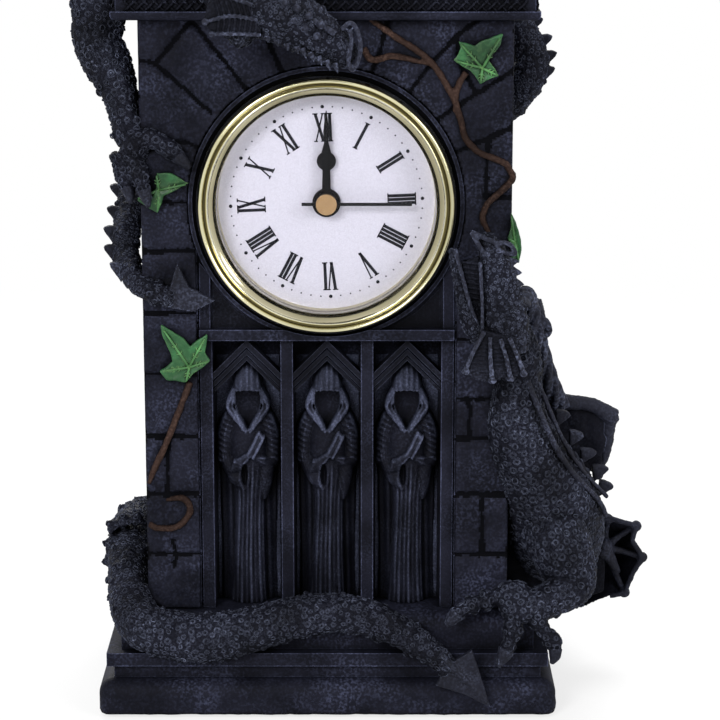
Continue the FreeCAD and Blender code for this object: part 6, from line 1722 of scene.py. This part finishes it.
def upper_head():
    """The head that leans over the clock: skull, nose curl, brow, teeth, and the frill behind."""
    y = UPPER_HEAD_Y
    line = pixel_rows(SNOUT_LINE, y)
    skull = scaled([tube(line, 28, 6)] + knobs(line, 170, 0.85, 11), 0.95, 22, voxel=0.38)
    trim = [horn(at(foot), at(tip), share * GIRTH) for foot, tip, share in UPPER_HORN_SHARES]
    trim.append(cord(UPPER_NOSE_CURL, y - 3.0, 0.62, 10, 4))
    trim.append(cord(BROW_LINE, y - 5.0, 0.8, 10, 5))
    for column, row in UPPER_TEETH:
        trim.append(horn(at_pixel(column, row, y - 4.6), at_pixel(column + 3, row + 9, y - 4.8), 1.5))
    for column, row in UPPER_BACK_TEETH:
        trim.append(horn(at_pixel(column, row, y - 3.6), at_pixel(column + 1, row + 7, y - 3.4), 2.0))
    trim += [ball(at_pixel(*pixel, y - 6.2), (1.1, 1.1, 1.1), 6, 10) for pixel in BROW_KNOBS]
    skins = [plate([on_plane(*pixel, y - 6.0) for pixel in FRILL_SKIN], y - 6.0, y - 4.4)]
    for spine in FRILL_SPINES:
        trim.append(cord(spine, y - 6.4, 0.52, 10, 4))
        trim.append(ball(at_pixel(*spine[-1], y - 6.4), (0.9, 0.9, 0.9), 6, 10))
    for step in range(FRILL_RIBS):
        column = FRILL_RIB_COLUMN + FRILL_RIB_STEP * step
        skins.append(tube([(*at_pixel(column + shift, row, y - depth), radius)
                           for shift, row, depth, radius in FRILL_RIB], 6, 4))
    finished_head("upper_dragon_skull", "upper_dragon_head", skull, trim, skins)


CALF_LINE = ((112, 38, 2.6), (118, 62, 3.6), (124, 88, 3.6), (129, 112, 3.2), (130, 136, 2.8))
CALF_Y = -22.0


def upper_dragon():
    """Body over the roof, gripping leg, tail round the tower, and both wings."""
    rows = route(UPPER_BODY_SHARES)
    body = scaled([tube(rows, 32, 8)] + knobs(rows, 120, 1.1, 8), 2.2, 31, voxel=0.65)
    show(body, "upper_dragon_hide", stands_for=["upper_dragon_body"])
    rows = route(GRIP_LEG_SHARES)
    limbs = [tube(rows, 28, 8), tube(pixel_rows(CALF_LINE, CALF_Y), 18, 6)]
    leg = scaled(limbs + knobs(rows, 70, 1.0, 9) + toes(GRIP_TOES), 2.0, 32, claws(GRIP_TOES), 0.5)
    show(leg, "upper_dragon_gripping_leg", stands_for=["upper_dragon_leg"])
    rows = route(UPPER_TAIL_SHARES)
    fins = fins_along(rows, (42, 45, 48, 51, 54, 57), -1) + fins_along(rows, (9, 11, 13, 15, 17), 1)
    limbs = [tube(rows, 20, 6), ball(at(UPPER_TAIL_SHARES[0]), (7.0, 7.0, 7.0))]
    tail = scaled(limbs + knobs(rows, 240, 0.95, 10), 1.4, 33,
                  [web(UPPER_BLADE_SHARES, BLADE_Y_SHARE * TOWER_HALF_D, 1.6)] + fins)
    show(tail, "upper_dragon_tail_hide", stands_for=["upper_dragon_tail"])
    show(winged(RAISED_WING_BONES_SHARES, RAISED_WING_WEB_SHARES, 0.50 * TOWER_HALF_D),
         "upper_dragon_near_wing", stands_for=["upper_dragon_wing"])
    show(winged(FAR_WING_BONES_SHARES, FAR_WING_WEB_SHARES, 1.06 * TOWER_HALF_D), "upper_dragon_back_wing",
         stands_for=["upper_dragon_far_wing"])


lower_dragon()
lower_head()
upper_dragon()
upper_head()


# Ivy: woody stems, and leaves with raised veins

VINE_Y = -32.1
STEMS = {
    "right": (
        ((372, 18), (397, 37), (425, 55), (440, 72), (455, 98), (462, 120), (467, 138), (480, 152),
         (504, 162), (511, 170), (514, 178), (507, 187), (497, 196), (488, 205), (484, 219), (490, 233)),
        ((365, 48), (374, 60), (396, 56), (430, 64)),
        ((468, 72), (459, 88), (456, 112)),
    ),
    "left": (
        ((191, 382), (180, 410), (166, 445), (155, 468), (149, 484)),
        ((149, 524), (158, 528), (176, 527), (188, 517), (190, 506), (182, 498), (166, 500)),
    ),
}


def stems(side):
    """A side's woody stems, waving a little in and out."""
    forms = []
    for line in STEMS[side]:
        rows = []
        for step, pixel in enumerate(line):
            x, z = on_plane(*pixel, VINE_Y)
            rows.append((x, VINE_Y + 0.15 * math.sin(step * 2.3), z, 0.85 if step < len(line) - 1 else 0.5))
        forms.append(tube(rows, 10, 8))
    show(cast("stems", forms, VINE, 0.3, 1, 0.16, 600.0, 0.5), "stems_" + side,
         stands_for=["vine_" + side])


stems("right")
stems("left")

LEAF_OUTLINES = {
    "right": (((460, 41), (467, 43), (476, 46), (483, 41), (504, 34), (502, 44), (497, 52), (491, 60),
               (497, 68), (501, 76), (494, 78), (488, 80), (482, 84), (477, 77), (472, 71), (463, 66),
               (455, 60), (459, 54), (462, 48)), (484, 68), (0, 4, 9, 12, 16)),
    "left": (((162, 325), (174, 331), (185, 339), (191, 347), (199, 340), (208, 334), (207, 345), (206, 352),
              (211, 360), (203, 367), (195, 373), (187, 382), (177, 380), (168, 379), (161, 371), (168, 367),
              (174, 361), (170, 350), (164, 338)), (190, 367), (0, 5, 8, 11, 14)),
    "claw": (((158, 173), (172, 173), (191, 183), (177, 190), (164, 195), (162, 204), (159, 213), (152, 209),
              (145, 204), (137, 199), (148, 199), (157, 197), (158, 185)), (160, 190), (0, 2, 6, 9)),
    "corner": (((512, 212), (517, 222), (521, 236), (523, 250), (520, 263), (511, 259), (515, 247),
                (509, 238), (512, 226)), (516, 242), (0, 4, 7)),
}


def leaf(outline, root, tips, y):
    """A lobed leaf that cups towards its rim, with a vein to each lobe and small ones beside it."""
    corners = [np.array(on_plane(*pixel, y)) for pixel in outline]
    start = np.array(on_plane(*root, y))
    count = len(corners)
    points = [(start[0], y - 0.1, start[1]), (start[0], y + 0.9, start[1])]
    points += [(x, y - 0.75, z) for x, z in corners] + [(x, y + 0.25, z) for x, z in corners]
    faces = []
    for corner in range(count):
        after = (corner + 1) % count
        faces += [(0, 2 + corner, 2 + after), (1, 2 + count + after, 2 + count + corner),
                  (2 + after, 2 + corner, 2 + count + corner, 2 + count + after)]
    veins = []
    for step in tips:
        tip = start + (corners[step] - start) * 0.88
        veins.append(tube([(start[0], y - 0.35, start[1], 0.42), (tip[0], y - 0.95, tip[1], 0.24)], 8, 3))
        way = (tip - start) / np.linalg.norm(tip - start)
        side = np.array((-way[1], way[0]))
        for share in (0.35, 0.55) if len(tips) > 3 else ():
            foot = start + (tip - start) * share
            for sign in (-1, 1):
                end = foot + (way * 0.7 + side * sign * 0.8) * 0.9
                veins.append(tube([(foot[0], y - 0.45 - 0.35 * share, foot[1], 0.20),
                                   (end[0], y - 0.55 - 0.35 * share, end[1], 0.13)], 6, 2))
    return (points, faces), veins


def ivy(side, outlines):
    """A side's leaves, each an outline's name and a depth."""
    blades, veins = [], []
    for name, y in outlines:
        blade, lines = leaf(*LEAF_OUTLINES[name], y)
        blades.append(blade)
        veins += lines
    made = cast("leaves", blades, LEAF, 0.24, 1, 0.40, 200.0)
    show(merged("leaves", made, new_object("veins", joined(veins), VEIN)), "leaves_" + side,
         stands_for=["ivy_" + side])


ivy("right", (("right", -33.0), ("corner", -32.6)))
ivy("left", (("left", -33.0), ("claw", -33.0)))


# The studio

def camera():
    made = bpy.data.objects.new("camera", bpy.data.cameras.new("camera"))
    bpy.context.scene.collection.objects.link(made)
    eye = Vector((EYE[0] + EYE_SIDE, EYE[1], EYE[2])) * MM
    aim = Vector((LOOK_AT[0] + EYE_SIDE, LOOK_AT[1], LOOK_AT[2])) * MM
    made.location = eye
    made.rotation_euler = (aim - eye).to_track_quat("-Z", "Y").to_euler()
    made.data.lens, made.data.sensor_width = LENS_MM, 36.0
    made.data.clip_start = 0.01
    bpy.context.scene.camera = made


LAMP_AIM, LAMP_SIZE = (0.0, 0.0, 0.10), 0.60
LAMPS = (("key", (-0.60, -1.25, 0.75), 17.0), ("fill", (0.95, -0.80, 0.55), 8.0),
         ("top", (0.10, 0.35, 1.25), 9.0), ("behind", (-0.45, 1.25, 0.55), 9.0))


def lamp(name, place, power):
    data = bpy.data.lights.new(name, "AREA")
    data.shape, data.size, data.energy = "DISK", LAMP_SIZE, power
    made = bpy.data.objects.new(name, data)
    bpy.context.scene.collection.objects.link(made)
    made.location = place
    made.rotation_euler = (Vector(LAMP_AIM) - Vector(place)).to_track_quat("-Z", "Y").to_euler()


def seen_share(tree):
    """1 for what the camera, mirrors and glass see, and 0 for what only lights the object."""
    light = add(tree, "ShaderNodeLightPath")
    mirrored = maths(tree, "MAXIMUM", light.outputs["Is Glossy Ray"], light.outputs["Is Transmission Ray"])
    return maths(tree, "MAXIMUM", light.outputs["Is Camera Ray"], mirrored)


def surroundings():
    world = bpy.data.worlds.new("studio")
    bpy.context.scene.world = world
    world.use_nodes = True
    tree = world.node_tree
    tree.nodes.clear()
    seen = seen_share(tree)
    soft = add(tree, "ShaderNodeBackground", {"Color": (1.0, 1.0, 1.0, 1.0), "Strength": 0.42})
    white = add(tree, "ShaderNodeBackground", {"Color": (1.0, 1.0, 1.0, 1.0), "Strength": 1.0})
    both = add(tree, "ShaderNodeMixShader", {0: seen, 1: soft.outputs[0], 2: white.outputs[0]})
    out = add(tree, "ShaderNodeOutputWorld")
    tree.links.new(both.outputs[0], out.inputs[0])


FLOOR_HALF_W = 2500
FADE_START, FADE_END = 0.16, 0.55


def floor():
    """A pale floor that fades to white away from the clock."""
    material, tree, shader = finish("pale_floor", 0.9, shine=0.1)
    shader.inputs["Base Color"].default_value = (0.93, 0.93, 0.93, 1.0)
    seen = seen_share(tree)
    glow = add(tree, "ShaderNodeEmission", {"Color": (1.0, 1.0, 1.0, 1.0), "Strength": 1.0})
    place = object_place(tree)
    away = add(tree, "ShaderNodeVectorMath", {0: place}, operation="LENGTH").outputs["Value"]
    far = ease(tree, away, FADE_START, FADE_END)
    share = maths(tree, "MULTIPLY", seen, maths(tree, "MULTIPLY_ADD", far, 0.26, 0.74))
    both = add(tree, "ShaderNodeMixShader", {0: share, 1: shader.outputs[0], 2: glow.outputs[0]})
    tree.links.new(both.outputs[0], tree.nodes["Material Output"].inputs["Surface"])
    corners = [(way_x * FLOOR_HALF_W, way_y * FLOOR_HALF_W, 0) for way_x,
               way_y in ((-1, -1), (1, -1), (1, 1), (-1, 1))]
    new_object("floor", (corners, [(0, 1, 2, 3)]), material, smooth=False)


camera()
surroundings()
floor()
for name, place, power in LAMPS:
    lamp(name, place, power)
bpy.context.scene.view_settings.view_transform = "Standard"
